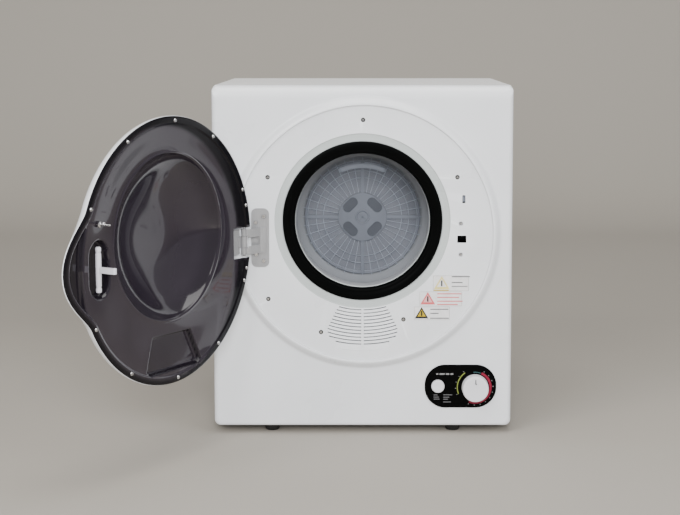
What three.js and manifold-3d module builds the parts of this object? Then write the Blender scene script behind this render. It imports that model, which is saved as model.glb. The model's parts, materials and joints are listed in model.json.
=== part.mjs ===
// Compact vented tumble dryer with its round door standing open.
// Millimetres. X to the right, Z up, the front faces -Y. Z = 0 is the floor, X = Y = 0 its middle.

import * as THREE from 'three';
import { mergeVertices } from 'three/addons/utils/BufferGeometryUtils.js';
import Module from 'manifold-3d';

const wasm = await Module();
wasm.setup();

// ---------------------------------------------------------------- driving dimensions

const HALF_WIDTH = 245;
const TOP = 574;
const BODY_BOTTOM = 12;
const BACK = 200;
const FRONT = -195; // flat face of the front moulding
const PANEL_DEPTH = 27; // how far the front moulding wraps back
const TOP_ROLL = 22; // large radius along the front top edge
const SIDE_ROLL = 9;
const WALL = 3; // moulding thickness
const SHEET = 1.5; // painted steel casing
const GAP = 0.3; // clearance between neighbouring pieces

const DOOR_X = 3.4; // centre of the door and of the round seat it closes into
const AXIS_Z = 332; // height of the door centre and of the drum axis
const SEAT_FLOOR = -200;
const SEAT_CREST = -204;
const SEAT_OUTER_R = 222;
const SEAT_CREST_R = 212;
const SEAT_INNER_R = 209;
const MOUTH_Z = 353; // the loading opening sits above the drum axis
const MOUTH_LIP_R = 143;
const MOUTH_R = 130;
const SEAL_INNER_R = 110;

const DRUM_R = 204;
const DRUM_FRONT = -160;
const DRUM_REAR = 55;
const DRUM_MOUTH_R = 138.5;
const DRUM_SHEET = 1.5;
const BAFFLES = 3;
const FILTER_R = 103;
const FILTER_FRONT = 36;

const SUPPORT_R = 134; // fixed ring that the drum's front rim turns around
const BULKHEAD_Y = 66;
const BLOWER_R = 105;
const BLOWER_FRONT = 84;
const HOUSING_R = 125;
const HOUSING_REAR = 150;
const EXHAUST = { x: -84, z: 236, r: 48 };

const MOTOR = { x: 122, z: 84, r: 46, front: -30, rear: 70 };
const DRUM_BELT_Y = -60;
const FAN_BELT_Y = 171;
const BELT_WIDTH = 8;
const BELT_THICK = 2;
const DRIVE_PULLEY_R = 10;
const FAN_DRIVE_R = 24;
const FAN_PULLEY_R = 40;
const IDLER_R = 14;

const HINGE = { x: -191, y: -222, pinR: 2, knuckleR: 5 };
const HINGE_Z = [302, 343];
const LEAF_Z = [313.4, 331.6];
const DOOR_OPEN_DEG = 121.5;
const DOOR_R = 203;
const DOOR_INNER = -214; // plane of the door's rim when it is shut
const BUMP = { reach: 34, halfAngle: 25, centreAngle: -2.5 };
const WINDOW_R = 158;
const BOWL_R = 127;
const BOWL_FLOOR = -264;

const FASCIA = { x: 161.4, z: 79, width: 118, height: 72, corner: 34 };
const KNOB = { x: 185.3, z: 77.2, r: 22 };
const BUTTON = { x: 124.2, z: 79.2, r: 10.7 };
const LATCH = { x: 161.8, z: 323.5 };
const SWITCH = { x: 164.7, z: 389 };
const FILTER_RIBS = 12;
const BLOWER_BLADES = 12;
const FEET = { x: 150, front: 170, rear: 150, r: 14.5 };

// ---------------------------------------------------------------- solid helpers

const degrees = THREE.MathUtils.degToRad;

function solid(geometry) {
  const flat = geometry.index ? geometry.toNonIndexed() : geometry.clone();
  for (const name of Object.keys(flat.attributes)) {
    if (name !== 'position') flat.deleteAttribute(name);
  }
  const merged = mergeVertices(flat, 1e-3);
  const vertProperties = merged.attributes.position.array;
  const triVerts = new Uint32Array(merged.index.array);
  const build = () => new wasm.Manifold(new wasm.Mesh({ numProp: 3, vertProperties, triVerts }));
  const made = build();
  if (made.volume() > 0) return made;
  for (let i = 0; i < triVerts.length; i += 3) {
    [triVerts[i + 1], triVerts[i + 2]] = [triVerts[i + 2], triVerts[i + 1]];
  }
  return build();
}

function geometryOf(manifold) {
  const mesh = manifold.getMesh();
  const geometry = new THREE.BufferGeometry();
  geometry.setAttribute('position', new THREE.BufferAttribute(mesh.vertProperties, 3));
  geometry.setIndex(new THREE.BufferAttribute(mesh.triVerts, 1));
  return geometry;
}

const join = (...solids) => solids.reduce((a, b) => a.add(b));
const cut = (base, ...tools) => tools.reduce((a, b) => a.subtract(b), base);

function box(x0, x1, y0, y1, z0, z1) {
  const geometry = new THREE.BoxGeometry(x1 - x0, y1 - y0, z1 - z0);
  return solid(geometry.translate((x0 + x1) / 2, (y0 + y1) / 2, (z0 + z1) / 2));
}

// A closed profile of [radius, y] points, turned about a line along Y through (x, z).
function turned(x, z, profile, segments = 40) {
  const points = profile.map(([r, y]) => new THREE.Vector2(r, y));
  if (profile.every(([r]) => r > 0)) points.push(points[0].clone());
  return solid(new THREE.LatheGeometry(points, segments).translate(x, 0, z));
}

const tube = (x, z, inner, outer, y0, y1, segments) =>
  turned(x, z, [[inner, y0], [outer, y0], [outer, y1], [inner, y1]], segments);

const rod = (x, z, r, y0, y1, segments = 20) =>
  turned(x, z, [[0, y0], [r, y0], [r, y1], [0, y1]], segments);

// A round bar or tube that stands along Z.
function upright(x, y, r, z0, z1, segments = 16) {
  const geometry = new THREE.CylinderGeometry(r, r, z1 - z0, segments);
  return solid(geometry.rotateX(Math.PI / 2).translate(x, y, (z0 + z1) / 2));
}

// Extrudes a shape drawn in the plane of two axes along the third one.
function prism(shape, from, to, along, curveSegments = 8) {
  const axes = {
    y: [new THREE.Vector3(1, 0, 0), new THREE.Vector3(0, 0, 1), new THREE.Vector3(0, -1, 0), -to],
    x: [new THREE.Vector3(0, 1, 0), new THREE.Vector3(0, 0, 1), new THREE.Vector3(1, 0, 0), from],
    z: [new THREE.Vector3(1, 0, 0), new THREE.Vector3(0, 1, 0), new THREE.Vector3(0, 0, 1), from],
  };
  const [u, v, w, start] = axes[along];
  const options = { depth: to - from, bevelEnabled: false, curveSegments };
  const geometry = new THREE.ExtrudeGeometry(shape, options).translate(0, 0, start);
  return solid(geometry.applyMatrix4(new THREE.Matrix4().makeBasis(u, v, w)));
}

function roundedRectangle(x0, x1, y0, y1, r) {
  const shape = new THREE.Shape();
  shape.absarc(x1 - r, y1 - r, r, 0, Math.PI / 2);
  shape.absarc(x0 + r, y1 - r, r, Math.PI / 2, Math.PI);
  shape.absarc(x0 + r, y0 + r, r, Math.PI, 1.5 * Math.PI);
  shape.absarc(x1 - r, y0 + r, r, 1.5 * Math.PI, 2 * Math.PI);
  shape.closePath();
  return shape;
}

const polygon = (points) => new THREE.Shape(points.map(([x, y]) => new THREE.Vector2(x, y)));

// ---------------------------------------------------------------- materials

const PAINTS = {
  white_plastic: ['#e6e8ea', 0.35, 0],
  white_paint: ['#e8e8e8', 0.4, 0],
  rubber: ['#101010', 0.8, 0],
  seal: ['#0a0a0b', 0.6, 0],
  steel: ['#b9bcc0', 0.35, 0.9],
  zinc: ['#a9adb2', 0.4, 0.8],
  drum: ['#c3c6c8', 0.35, 0.7],
  grey_plastic: ['#7f8590', 0.5, 0],
  smoke: ['#4a4050', 0.1, 0],
  black_plastic: ['#151516', 0.4, 0],
  felt: ['#8a877f', 0.95, 0],
  copper: ['#a8703f', 0.4, 0.8],
};

function material(paint) {
  const [color, roughness, metalness] = PAINTS[paint];
  return new THREE.MeshStandardMaterial({ color, roughness, metalness });
}

function add(group, name, manifold, paint) {
  const mesh = new THREE.Mesh(geometryOf(manifold), material(paint));
  mesh.name = name;
  group.add(mesh);
}

// ---------------------------------------------------------------- casing

// Outline of the front moulding, from the side and from above, shrunk by inset on its visible faces.
function frontShell(inset, back) {
  const front = FRONT + inset;
  const top = TOP - inset;
  const half = HALF_WIDTH - inset;
  const roll = TOP_ROLL - inset;
  const sideRoll = SIDE_ROLL - inset;
  const side = new THREE.Shape();
  side.moveTo(back, BODY_BOTTOM + inset);
  side.lineTo(back, top);
  side.lineTo(front + roll, top);
  side.absarc(front + roll, top - roll, roll, Math.PI / 2, Math.PI);
  side.lineTo(front, BODY_BOTTOM + inset);
  const plan = new THREE.Shape();
  plan.moveTo(-half, back);
  plan.lineTo(-half, front + sideRoll);
  plan.absarc(-half + sideRoll, front + sideRoll, sideRoll, Math.PI, 1.5 * Math.PI);
  plan.absarc(half - sideRoll, front + sideRoll, sideRoll, 1.5 * Math.PI, 2 * Math.PI);
  plan.lineTo(half, back);
  return prism(side, -half, half, 'x', 5).intersect(prism(plan, BODY_BOTTOM + inset, top, 'z', 3));
}

// The air slots lie on arcs about the loading opening, parted by a middle rib.
function louvreSlots() {
  const rows = 11;
  const pitch = 5.7;
  const slot = 2.3;
  const rib = 2;
  const halfWidths = [38.5, 42, 45, 47.5, 50, 52.5, 55, 57, 57, 55, 44];
  const slots = [];
  for (let row = 0; row < rows; row += 1) {
    const r = MOUTH_LIP_R + 3 + row * pitch;
    for (const side of [-1, 1]) {
      const near = Math.asin(rib / r);
      const far = Math.asin(halfWidths[row] / r);
      const shape = new THREE.Shape();
      const start = -Math.PI / 2 + side * near;
      const end = -Math.PI / 2 + side * far;
      shape.absarc(0, MOUTH_Z, r + slot / 2, start, end, side < 0);
      shape.absarc(0, MOUTH_Z, r - slot / 2, end, start, side > 0);
      shape.closePath();
      slots.push(prism(shape, SEAT_FLOOR - 1, SEAT_FLOOR + 6, 'y', 1));
    }
  }
  return slots;
}

const hingeScrewPlaces = [[-160.6, 361.5], [-173.7, 351.4], [-160.6, 288.4], [-172.9, 299.1]];

function frontPanel() {
  const back = FRONT + PANEL_DEPTH;
  const shell = cut(frontShell(0, back), frontShell(WALL, back + 5));
  const seat = turned(DOOR_X, AXIS_Z, [
    [0, SEAT_FLOOR],
    [SEAT_INNER_R, SEAT_FLOOR],
    [SEAT_INNER_R + 0.8, SEAT_CREST],
    [SEAT_CREST_R, SEAT_CREST],
    [SEAT_CREST_R + 5, SEAT_CREST + 3],
    [SEAT_OUTER_R, FRONT],
    [SEAT_OUTER_R, FRONT + WALL],
    [SEAT_INNER_R + 2, FRONT + WALL],
    [SEAT_INNER_R - 3, SEAT_FLOOR + 4],
    [0, SEAT_FLOOR + 4],
  ], 48);
  const seatSpace = rod(DOOR_X, AXIS_Z, SEAT_INNER_R - 4, FRONT - 1, FRONT + WALL + 1, 48);
  const collar = tube(0, MOUTH_Z, MOUTH_R - 5, MOUTH_LIP_R + 2, SEAT_FLOOR + 2, SEAT_FLOOR + 8);
  const body = join(cut(shell, seatSpace), seat, collar);
  const round = (place, r) => rod(place.x, place.z, r, FRONT - 20, FRONT + 20, 16);
  const screwHoles = hingeScrewPlaces.map(([x, z]) => rod(x, z, 2.2, FRONT - 20, FRONT + 20, 8));
  return cut(
    body,
    rod(0, MOUTH_Z, MOUTH_LIP_R, SEAT_FLOOR - 1, SEAT_FLOOR + 3, 40),
    rod(0, MOUTH_Z, MOUTH_R, SEAT_FLOOR - 1, SEAT_FLOOR + 20, 40),
    ...louvreSlots(),
    ...screwHoles,
    box(LATCH.x - 6, LATCH.x + 6, -210, -180, LATCH.z - 6, LATCH.z + 6),
    box(SWITCH.x - 2.5, SWITCH.x + 2.5, -210, -180, SWITCH.z - 6, SWITCH.z + 6),
    round(KNOB, 6),
    round(BUTTON, 12.5),
  );
}

function casing(group) {
  const y0 = FRONT + PANEL_DEPTH + GAP;
  const y1 = BACK - 3;
  const half = HALF_WIDTH;
  add(group, 'front_panel', frontPanel(), 'white_plastic');
  for (const [name, side] of [['left', -1], ['right', 1]]) {
    const outer = side * half;
    const inner = side * (half - SHEET);
    const wall = box(Math.min(inner, outer), Math.max(inner, outer), y0, y1, BODY_BOTTOM, TOP - 2);
    add(group, `side_panel_${name}`, wall, 'white_paint');
  }
  const lid = box(-half, half, y0, BACK, TOP - SHEET, TOP);
  const insideHalf = half - SHEET - GAP;
  const hem = (side) => {
    const outer = side * insideHalf;
    const inner = side * (insideHalf - SHEET);
    return box(Math.min(inner, outer), Math.max(inner, outer), y0, y1 - 5, TOP - 14, TOP - SHEET / 2);
  };
  add(group, 'top_panel', join(lid, hem(-1), hem(1)), 'white_paint');
  add(group, 'back_panel', backPanel(), 'white_paint');
  add(group, 'base_pan', basePan(insideHalf, y0, y1), 'zinc');
  for (const [name, y] of [['front', -FEET.front], ['rear', FEET.rear]]) {
    for (const [side, x] of [['left', -FEET.x], ['right', FEET.x]]) {
      add(group, `foot_${name}_${side}`, foot(x, y), 'rubber');
    }
  }
}

function backPanel() {
  const sheet = box(-HALF_WIDTH, HALF_WIDTH, BACK - 3 + GAP, BACK, BODY_BOTTOM, TOP - SHEET - GAP);
  const cuts = [
    rod(EXHAUST.x, EXHAUST.z, EXHAUST.r + 2.6, BACK - 10, BACK + 10, 28),
    rod(-200, 60, 9.3, BACK - 10, BACK + 10, 16),
  ];
  for (let row = 0; row < 6; row += 1) {
    cuts.push(box(90, 190, BACK - 10, BACK + 10, 250 + row * 16, 256 + row * 16));
  }
  return cut(sheet, ...cuts);
}

function basePan(half, y0, y1) {
  const rim = 16;
  const outer = box(-half, half, y0, y1, BODY_BOTTOM, BODY_BOTTOM + rim);
  const inner = box(-half + SHEET, half - SHEET, y0 + SHEET, y1 - SHEET, BODY_BOTTOM + SHEET, 60);
  const stand = box(MOTOR.x - 36, MOTOR.x + 36, MOTOR.front + 12, MOTOR.rear - 12, 13, 26);
  return join(cut(outer, inner), stand);
}

function foot(x, y) {
  const profile = [[0, 0], [9.5, 0], [11.5, 1.4], [FEET.r, BODY_BOTTOM - GAP], [0, BODY_BOTTOM - GAP]];
  const points = profile.map(([r, z]) => new THREE.Vector2(r, z));
  return solid(new THREE.LatheGeometry(points, 16).rotateX(Math.PI / 2).translate(x, y, 0));
}

// ---------------------------------------------------------------- loading opening

function loadingOpening(group) {
  const seal = turned(0, MOUTH_Z, [
    [MOUTH_R - GAP, SEAT_FLOOR + 0.5],
    [MOUTH_R - 6, SEAT_FLOOR - 2],
    [SEAL_INNER_R + 4, SEAT_FLOOR + 1],
    [SEAL_INNER_R, SEAT_FLOOR + 10],
    [SEAL_INNER_R, SEAT_FLOOR + 13],
    [MOUTH_R - GAP, SEAT_FLOOR + 8],
  ]);
  add(group, 'door_seal', seal, 'seal');

  const rear = DRUM_FRONT + 12;
  const front = SEAT_FLOOR + 14;
  const rim = tube(0, AXIS_Z, SUPPORT_R - 2.5, SUPPORT_R, front, rear);
  const plate = rod(0, AXIS_Z, SUPPORT_R, front, front + 3, 40);
  const neck = rod(0, MOUTH_Z, SEAL_INNER_R + 2.6, front, rear, 40).intersect(
    rod(0, AXIS_Z, SUPPORT_R, front, rear, 40));
  const support = cut(join(rim, plate, neck), rod(0, MOUTH_Z, SEAL_INNER_R, front - 1, rear + 1, 40));
  add(group, 'drum_front_support', support, 'white_plastic');
  const felt = tube(0, AXIS_Z, SUPPORT_R + GAP, DRUM_MOUTH_R - 3 * GAP, DRUM_FRONT - 4, DRUM_FRONT + 8);
  add(group, 'drum_felt_seal', felt, 'felt');
}

// ---------------------------------------------------------------- controls and interlock

function controls(group) {
  const front = FRONT - GAP;
  const halfW = FASCIA.width / 2;
  const halfH = FASCIA.height / 2;
  const outline = roundedRectangle(
    FASCIA.x - halfW, FASCIA.x + halfW, FASCIA.z - halfH, FASCIA.z + halfH, FASCIA.corner);
  const plate = prism(outline, front - 2.2, front, 'y', 6);
  const holes = [
    rod(KNOB.x, KNOB.z, 5, front - 5, front + 5, 12),
    rod(BUTTON.x, BUTTON.z, BUTTON.r + 0.8, front - 5, front + 5, 20),
  ];
  add(group, 'control_fascia', cut(plate, ...holes), 'black_plastic');
  const behind = FRONT + WALL + GAP;
  const timer = join(
    rod(KNOB.x, KNOB.z, 24, behind, behind + 32, 20),
    box(KNOB.x - 20, KNOB.x + 20, behind, behind + 2, KNOB.z - 32, KNOB.z + 32),
  );
  const timerBore = rod(KNOB.x, KNOB.z, 3.4, behind - 1, behind + 14, 16);
  add(group, 'timer_body', cut(timer, timerBore), 'black_plastic');
  const contact = box(BUTTON.x - 13, BUTTON.x + 13, behind, behind + 26, BUTTON.z - 13, BUTTON.z + 13);
  const well = box(BUTTON.x - 6, BUTTON.x + 6, behind - 1, behind + 12, BUTTON.z - 6, BUTTON.z + 6);
  add(group, 'selector_switch_body', cut(contact, well), 'black_plastic');
}

// The knob turns on the timer's shaft; its grip is a raised bar with a pointer.
function timerKnob(group) {
  const front = FRONT - GAP - 2.2 - 0.6;
  const body = turned(KNOB.x, KNOB.z, [
    [0, front - 9],
    [KNOB.r - 5, front - 9],
    [KNOB.r - 2, front - 7.5],
    [KNOB.r, front],
    [0, front],
  ], 28);
  const grip = box(KNOB.x - 5, KNOB.x + 5, front - 17, front - 4, KNOB.z - KNOB.r + 4, KNOB.z + KNOB.r - 4);
  const shaft = rod(KNOB.x, KNOB.z, 3, front - 1, FRONT + WALL + 10, 16);
  add(group, 'timer_knob', join(body, grip, shaft), 'white_plastic');
}

function selectorButton(group) {
  const cap = turned(BUTTON.x, BUTTON.z, [
    [0, FRONT - 7],
    [BUTTON.r - 1.6, FRONT - 7],
    [BUTTON.r, FRONT - 5.6],
    [BUTTON.r, FRONT - GAP],
    [0, FRONT - GAP],
  ], 20);
  const stem = rod(BUTTON.x, BUTTON.z, 4, FRONT - 1, FRONT + WALL + 7, 16);
  add(group, 'selector_button', join(cap, stem), 'white_plastic');
}

function interlock(group) {
  const y0 = SEAT_FLOOR + 4 + GAP;
  const strike = cut(
    box(LATCH.x - 14, LATCH.x + 14, y0, y0 + 28, LATCH.z - 24, LATCH.z + 24),
    box(LATCH.x - 10, LATCH.x + 8, y0 - 1, y0 + 22, LATCH.z - 6.5, LATCH.z + 6.5),
  );
  add(group, 'latch_strike', strike, 'black_plastic');
  const body = cut(
    box(SWITCH.x - 9, SWITCH.x + 9, y0, y0 + 22, SWITCH.z - 16, SWITCH.z + 16),
    box(SWITCH.x - 2.4, SWITCH.x + 2.4, y0 - 1, y0 + 15, SWITCH.z - 5, SWITCH.z + 5),
  );
  add(group, 'door_switch_body', body, 'black_plastic');
}

function switchPlunger(group) {
  const plunger = box(
    SWITCH.x - 1.9, SWITCH.x + 1.9,
    SEAT_FLOOR + 6, SEAT_FLOOR + 14,
    SWITCH.z - 4.4, SWITCH.z + 4.4,
  );
  add(group, 'door_switch_plunger', plunger, 'grey_plastic');
}

// ---------------------------------------------------------------- hinge

function hingeFixed(group) {
  const y = SEAT_FLOOR - GAP;
  const plate = prism(roundedRectangle(-181, -152, 278, 374.5, 10), y - 1.6, y, 'y', 3);
  const holes = hingeScrewPlaces.map(([px, pz]) => rod(px, pz, 2.2, y - 5, y + 5, 8));
  add(group, 'hinge_plate', cut(plate, ...holes), 'zinc');
  const { x, y: pinY, knuckleR, pinR } = HINGE;
  const low = y - 1.6 - GAP;
  const strap = polygon([
    [-157, low],
    [-157, low - 2.2],
    [-164, low - 2.2],
    [-172, low - 12],
    [-182, low - 21],
    [x, pinY - knuckleR],
    [x, pinY + 1],
    [-183, low - 17],
    [-173, low - 9],
    [-165, low],
  ]);
  const [z0, z1] = HINGE_Z;
  const arm = cut(
    join(prism(strap, z0, z1, 'z'), upright(x, pinY, knuckleR, z0, z1)),
    box(-230, -181, -240, -205, LEAF_Z[0] - 0.4, LEAF_Z[1] + 0.4),
    box(-190, -168, -240, -205, 316, 329),
    upright(x, pinY, pinR + GAP, z0 - 5, z1 + 5, 12),
  );
  add(group, 'hinge_arm', arm, 'steel');
  add(group, 'hinge_pin', upright(x, pinY, pinR, z0 - 2, z1 + 2, 12), 'steel');
  hingeScrewPlaces.forEach(([px, pz], i) => {
    const head = y - 1.6 - GAP;
    const screw = turned(px, pz, [
      [0, head - 2.4],
      [2.6, head - 2.1],
      [3.9, head],
      [1.9, head],
      [1.9, SEAT_FLOOR + 7],
      [0, SEAT_FLOOR + 8],
    ], 8);
    add(group, `hinge_screw_${i + 1}`, screw, 'steel');
  });
}

// ---------------------------------------------------------------- door, drawn shut

// How much of the handle's bulge the rim has at an angle about the door's centre, 0 to 1.
function bulge(angle) {
  const off = Math.abs(THREE.MathUtils.euclideanModulo(angle - BUMP.centreAngle + 180, 360) - 180);
  return off < BUMP.halfAngle ? Math.cos((off / BUMP.halfAngle) * (Math.PI / 2)) ** 1.6 : 0;
}

// Turns a closed profile of [radius, y, share of the bulge] about the door's centre.
function doorRing(profile, segments = 60) {
  const positions = [];
  const indices = [];
  const count = profile.length;
  for (let s = 0; s < segments; s += 1) {
    const angle = (s * 360) / segments;
    const reach = bulge(angle) * BUMP.reach;
    for (const [r, y, share] of profile) {
      const radius = r + reach * share;
      const x = DOOR_X + radius * Math.cos(degrees(angle));
      const z = AXIS_Z + radius * Math.sin(degrees(angle));
      positions.push(x, y, z);
    }
    const next = (s + 1) % segments;
    for (let k = 0; k < count; k += 1) {
      const k2 = (k + 1) % count;
      const [a, b, c, d] = [s * count + k, next * count + k, next * count + k2, s * count + k2];
      indices.push(a, b, c, a, c, d);
    }
  }
  const geometry = new THREE.BufferGeometry();
  geometry.setAttribute('position', new THREE.Float32BufferAttribute(positions, 3));
  geometry.setIndex(indices);
  return solid(geometry);
}

// A flat slab with the door's outline, set in from its edge.
function doorSlab(inset, y0, y1) {
  const points = [];
  for (let angle = 0; angle < 360; angle += 6) {
    const r = DOOR_R - inset + bulge(angle) * BUMP.reach;
    points.push([DOOR_X + r * Math.cos(degrees(angle)), AXIS_Z + r * Math.sin(degrees(angle))]);
  }
  return prism(polygon(points), y0, y1, 'y');
}

const hingeNotch = () =>
  box(HINGE.x - 20, -158, -228.4, DOOR_INNER + 3, HINGE_Z[0] - 4, HINGE_Z[1] + 4)
    .subtract(box(HINGE.x - 20, HINGE.x - 6.5, -229, -220.6, HINGE_Z[0] - 5, HINGE_Z[1] + 5));

function doorFrame() {
  const ring = doorRing([
    [DOOR_R, DOOR_INNER, 1],
    [DOOR_R, DOOR_INNER - 5, 1],
    [DOOR_R - 3, DOOR_INNER - 13, 1],
    [DOOR_R - 9, DOOR_INNER - 19, 1],
    [DOOR_R - 20, DOOR_INNER - 24, 0.9],
    [WINDOW_R + GAP, DOOR_INNER - 34, 0],
    [WINDOW_R + GAP, DOOR_INNER - 30, 0],
    [DOOR_R - 21, DOOR_INNER - 21, 0.9],
    [DOOR_R - 11, DOOR_INNER - 16.5, 1],
    [DOOR_R - 5.5, DOOR_INNER - 11, 1],
    [DOOR_R - 2.6, DOOR_INNER, 1],
  ]);
  return cut(ring, hingeNotch());
}

function doorWindow() {
  const edge = DOOR_INNER - 30;
  return turned(DOOR_X, AXIS_Z, [
    [0, edge - 38],
    [45, edge - 36.2],
    [90, edge - 29.4],
    [128, edge - 17.5],
    [WINDOW_R - 6, edge - 5.5],
    [WINDOW_R, edge - 2],
    [WINDOW_R, edge],
    [WINDOW_R - 7, edge - 1],
    [127, edge - 14],
    [89, edge - 26],
    [44, edge - 33],
    [0, edge - 34.6],
  ], 36);
}

function doorLiner() {
  const y = DOOR_INNER;
  const rim = DOOR_R - 3.6 - GAP;
  const plate = doorRing([
    [rim, y - 0.6, 1],
    [rim, y - 3, 1],
    [rim - 12, y - 3.2, 1],
    [BOWL_R + 18, y - 8.5, 0],
    [100, y - 9, 0],
    [100, y - 6, 0],
    [BOWL_R + 18, y - 6, 0],
    [rim - 11, y - 1, 1],
  ]);
  const bowl = turned(0, MOUTH_Z, [
    [0, BOWL_FLOOR - 2.5],
    [60, BOWL_FLOOR - 1],
    [BOWL_R - 30, BOWL_FLOOR + 5],
    [BOWL_R - 11, BOWL_FLOOR + 18],
    [BOWL_R + 2.5, y - 8],
    [BOWL_R + 2.5, y - 6.2],
    [0, y - 6.2],
  ], 30);
  const hollow = turned(0, MOUTH_Z, [
    [0, BOWL_FLOOR],
    [60, BOWL_FLOOR + 1.5],
    [BOWL_R - 31, BOWL_FLOOR + 7.5],
    [BOWL_R - 14, BOWL_FLOOR + 19.5],
    [BOWL_R, y - 7],
    [BOWL_R, y + 5],
    [0, y + 5],
  ], 30);
  const latchPod = prism(stadium(LATCH.x - 1, LATCH.z, 26, 45), y - 16, y - 2, 'y', 4);
  const latchWell = prism(stadium(LATCH.x - 1, LATCH.z, 23.5, 42.5), y - 14, y + 3, 'y', 4);
  const gripPod = prism(stadium(212, LATCH.z - 3, 21, 62), y - 14, y - 1.5, 'y', 4)
    .intersect(doorSlab(12, y - 20, y + 5));
  const gripWell = prism(stadium(212, LATCH.z - 3, 18.5, 59.5), y - 12, y + 3, 'y', 4)
    .intersect(doorSlab(14.5, y - 20, y + 5));
  const airPocket = [[-44, 200], [44, 200], [62, 162], [52, 151], [-52, 151], [-62, 162]];
  const pocketShell = prism(polygon(airPocket.map(([px, pz]) => [px * 1.04, pz + (pz > 170 ? 3 : -3)])),
    y - 12.5, y - 4, 'y');
  const pocket = prism(polygon(airPocket), y - 10, y + 3, 'y');
  return cut(
    join(plate, bowl, latchPod, gripPod, pocketShell),
    hollow,
    latchWell,
    gripWell,
    pocket,
    hingeNotch(),
  );
}

function stadium(x, z, halfWidth, halfHeight) {
  return roundedRectangle(x - halfWidth, x + halfWidth, z - halfHeight, z + halfHeight, halfWidth - 0.5);
}

function hingeLeaf() {
  const { x, y, knuckleR, pinR } = HINGE;
  const plate = box(-184, -158.5, -228.1, -226.4, HINGE_Z[0], HINGE_Z[1]);
  const web = box(x, -180, y - knuckleR, y - 3, ...LEAF_Z);
  return cut(
    join(upright(x, y, knuckleR, ...LEAF_Z), web, plate),
    upright(x, y, pinR + GAP, 290, 350, 12),
    box(x - 10, -179, y - 2.9, y + 10, 290, LEAF_Z[0] - 0.01),
  );
}

function switchPin() {
  const y = DOOR_INNER - 1 - GAP;
  return join(
    turned(SWITCH.x, SWITCH.z, [[0, y - 1], [4.5, y - 1], [4.5, y + 2.5], [0, y + 2.5]], 12),
    rod(SWITCH.x, SWITCH.z, 1.6, y, SEAT_FLOOR + 5.6, 8),
  );
}

function latchHook() {
  const axisY = DOOR_INNER - 6.5;
  const bar = upright(LATCH.x, axisY, 4.2, LATCH.z - 33, LATCH.z + 33, 12);
  const arm = box(LATCH.x - 2.6, LATCH.x + 2.6, axisY, SEAT_FLOOR + 12, LATCH.z - 4.4, LATCH.z + 4.4);
  const barb = box(LATCH.x - 5, LATCH.x, SEAT_FLOOR + 6, SEAT_FLOOR + 12, LATCH.z - 4.4, LATCH.z + 4.4);
  return join(bar, arm, barb);
}

function door(group) {
  const leaf = new THREE.Group();
  leaf.position.set(HINGE.x, HINGE.y, 0);
  leaf.rotation.z = -degrees(DOOR_OPEN_DEG);
  const shut = new THREE.Group();
  shut.position.set(-HINGE.x, -HINGE.y, 0);
  leaf.add(shut);
  group.add(leaf);
  add(shut, 'door_frame', doorFrame(), 'white_plastic');
  add(shut, 'door_window', doorWindow(), 'smoke');
  add(shut, 'door_liner', doorLiner(), 'smoke');
  add(shut, 'hinge_leaf', hingeLeaf(), 'steel');
  add(shut, 'switch_pin', switchPin(), 'steel');
  add(shut, 'latch_hook', latchHook(), 'white_plastic');
}

// ---------------------------------------------------------------- drum

function drumShell() {
  const r = DRUM_R;
  const t = DRUM_SHEET;
  return turned(0, AXIS_Z, [
    [r, DRUM_REAR],
    [r, DRUM_FRONT + t],
    [DRUM_MOUTH_R + t, DRUM_FRONT + t],
    [DRUM_MOUTH_R + t, DRUM_FRONT + 8 - t],
    [DRUM_MOUTH_R, DRUM_FRONT + 8],
    [DRUM_MOUTH_R, DRUM_FRONT],
    [r + t, DRUM_FRONT],
    [r + t, DRUM_REAR],
  ], 40);
}

function drumRearPlate() {
  const plate = turned(0, AXIS_Z, [
    [8.3, DRUM_REAR - 2],
    [30, DRUM_REAR - 2],
    [FILTER_R, DRUM_REAR - 6],
    [DRUM_R - GAP, DRUM_REAR - 6],
    [DRUM_R - GAP, DRUM_REAR - 4.5],
    [FILTER_R + 1.5, DRUM_REAR - 4.5],
    [30, DRUM_REAR],
    [8.3, DRUM_REAR],
  ], 40);
  const windows = [];
  for (let i = 0; i < 6; i += 1) {
    const angle = degrees(30 + i * 60);
    windows.push(rod(66 * Math.cos(angle), AXIS_Z + 66 * Math.sin(angle), 26, 0, 100, 8));
  }
  return cut(plate, ...windows);
}

function drumShaft() {
  return turned(0, AXIS_Z, [
    [0, DRUM_REAR - 8],
    [14, DRUM_REAR - 8],
    [14, DRUM_REAR - 2 - GAP],
    [8, DRUM_REAR - 2 - GAP],
    [8, BULKHEAD_Y + 13],
    [0, BULKHEAD_Y + 13],
  ], 16);
}

function baffle(index) {
  const height = 34;
  const inner = DRUM_R - 1;
  const shape = polygon([
    [-24, -Math.sqrt(inner ** 2 - 24 ** 2) + 0.3],
    [-9, -inner + height - 4],
    [-4, -inner + height],
    [4, -inner + height],
    [9, -inner + height - 4],
    [24, -Math.sqrt(inner ** 2 - 24 ** 2) + 0.3],
    [0, -inner + 1.2],
  ]);
  const bar = prism(shape, DRUM_FRONT + 10, DRUM_REAR - 12, 'y');
  return bar.rotate([0, 60 + (index * 360) / BAFFLES, 0]).translate([0, 0, AXIS_Z]);
}

function drum(group) {
  add(group, 'drum_shell', drumShell(), 'drum');
  add(group, 'drum_rear_plate', drumRearPlate(), 'drum');
  add(group, 'drum_shaft', drumShaft(), 'steel');
  for (let i = 0; i < BAFFLES; i += 1) add(group, `drum_baffle_${i + 1}`, baffle(i), 'grey_plastic');
  const screen = tube(0, AXIS_Z, 14.6, FILTER_R - 4, FILTER_FRONT + 8, FILTER_FRONT + 9, 28);
  add(group, 'lint_screen', screen, 'grey_plastic');
}

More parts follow.
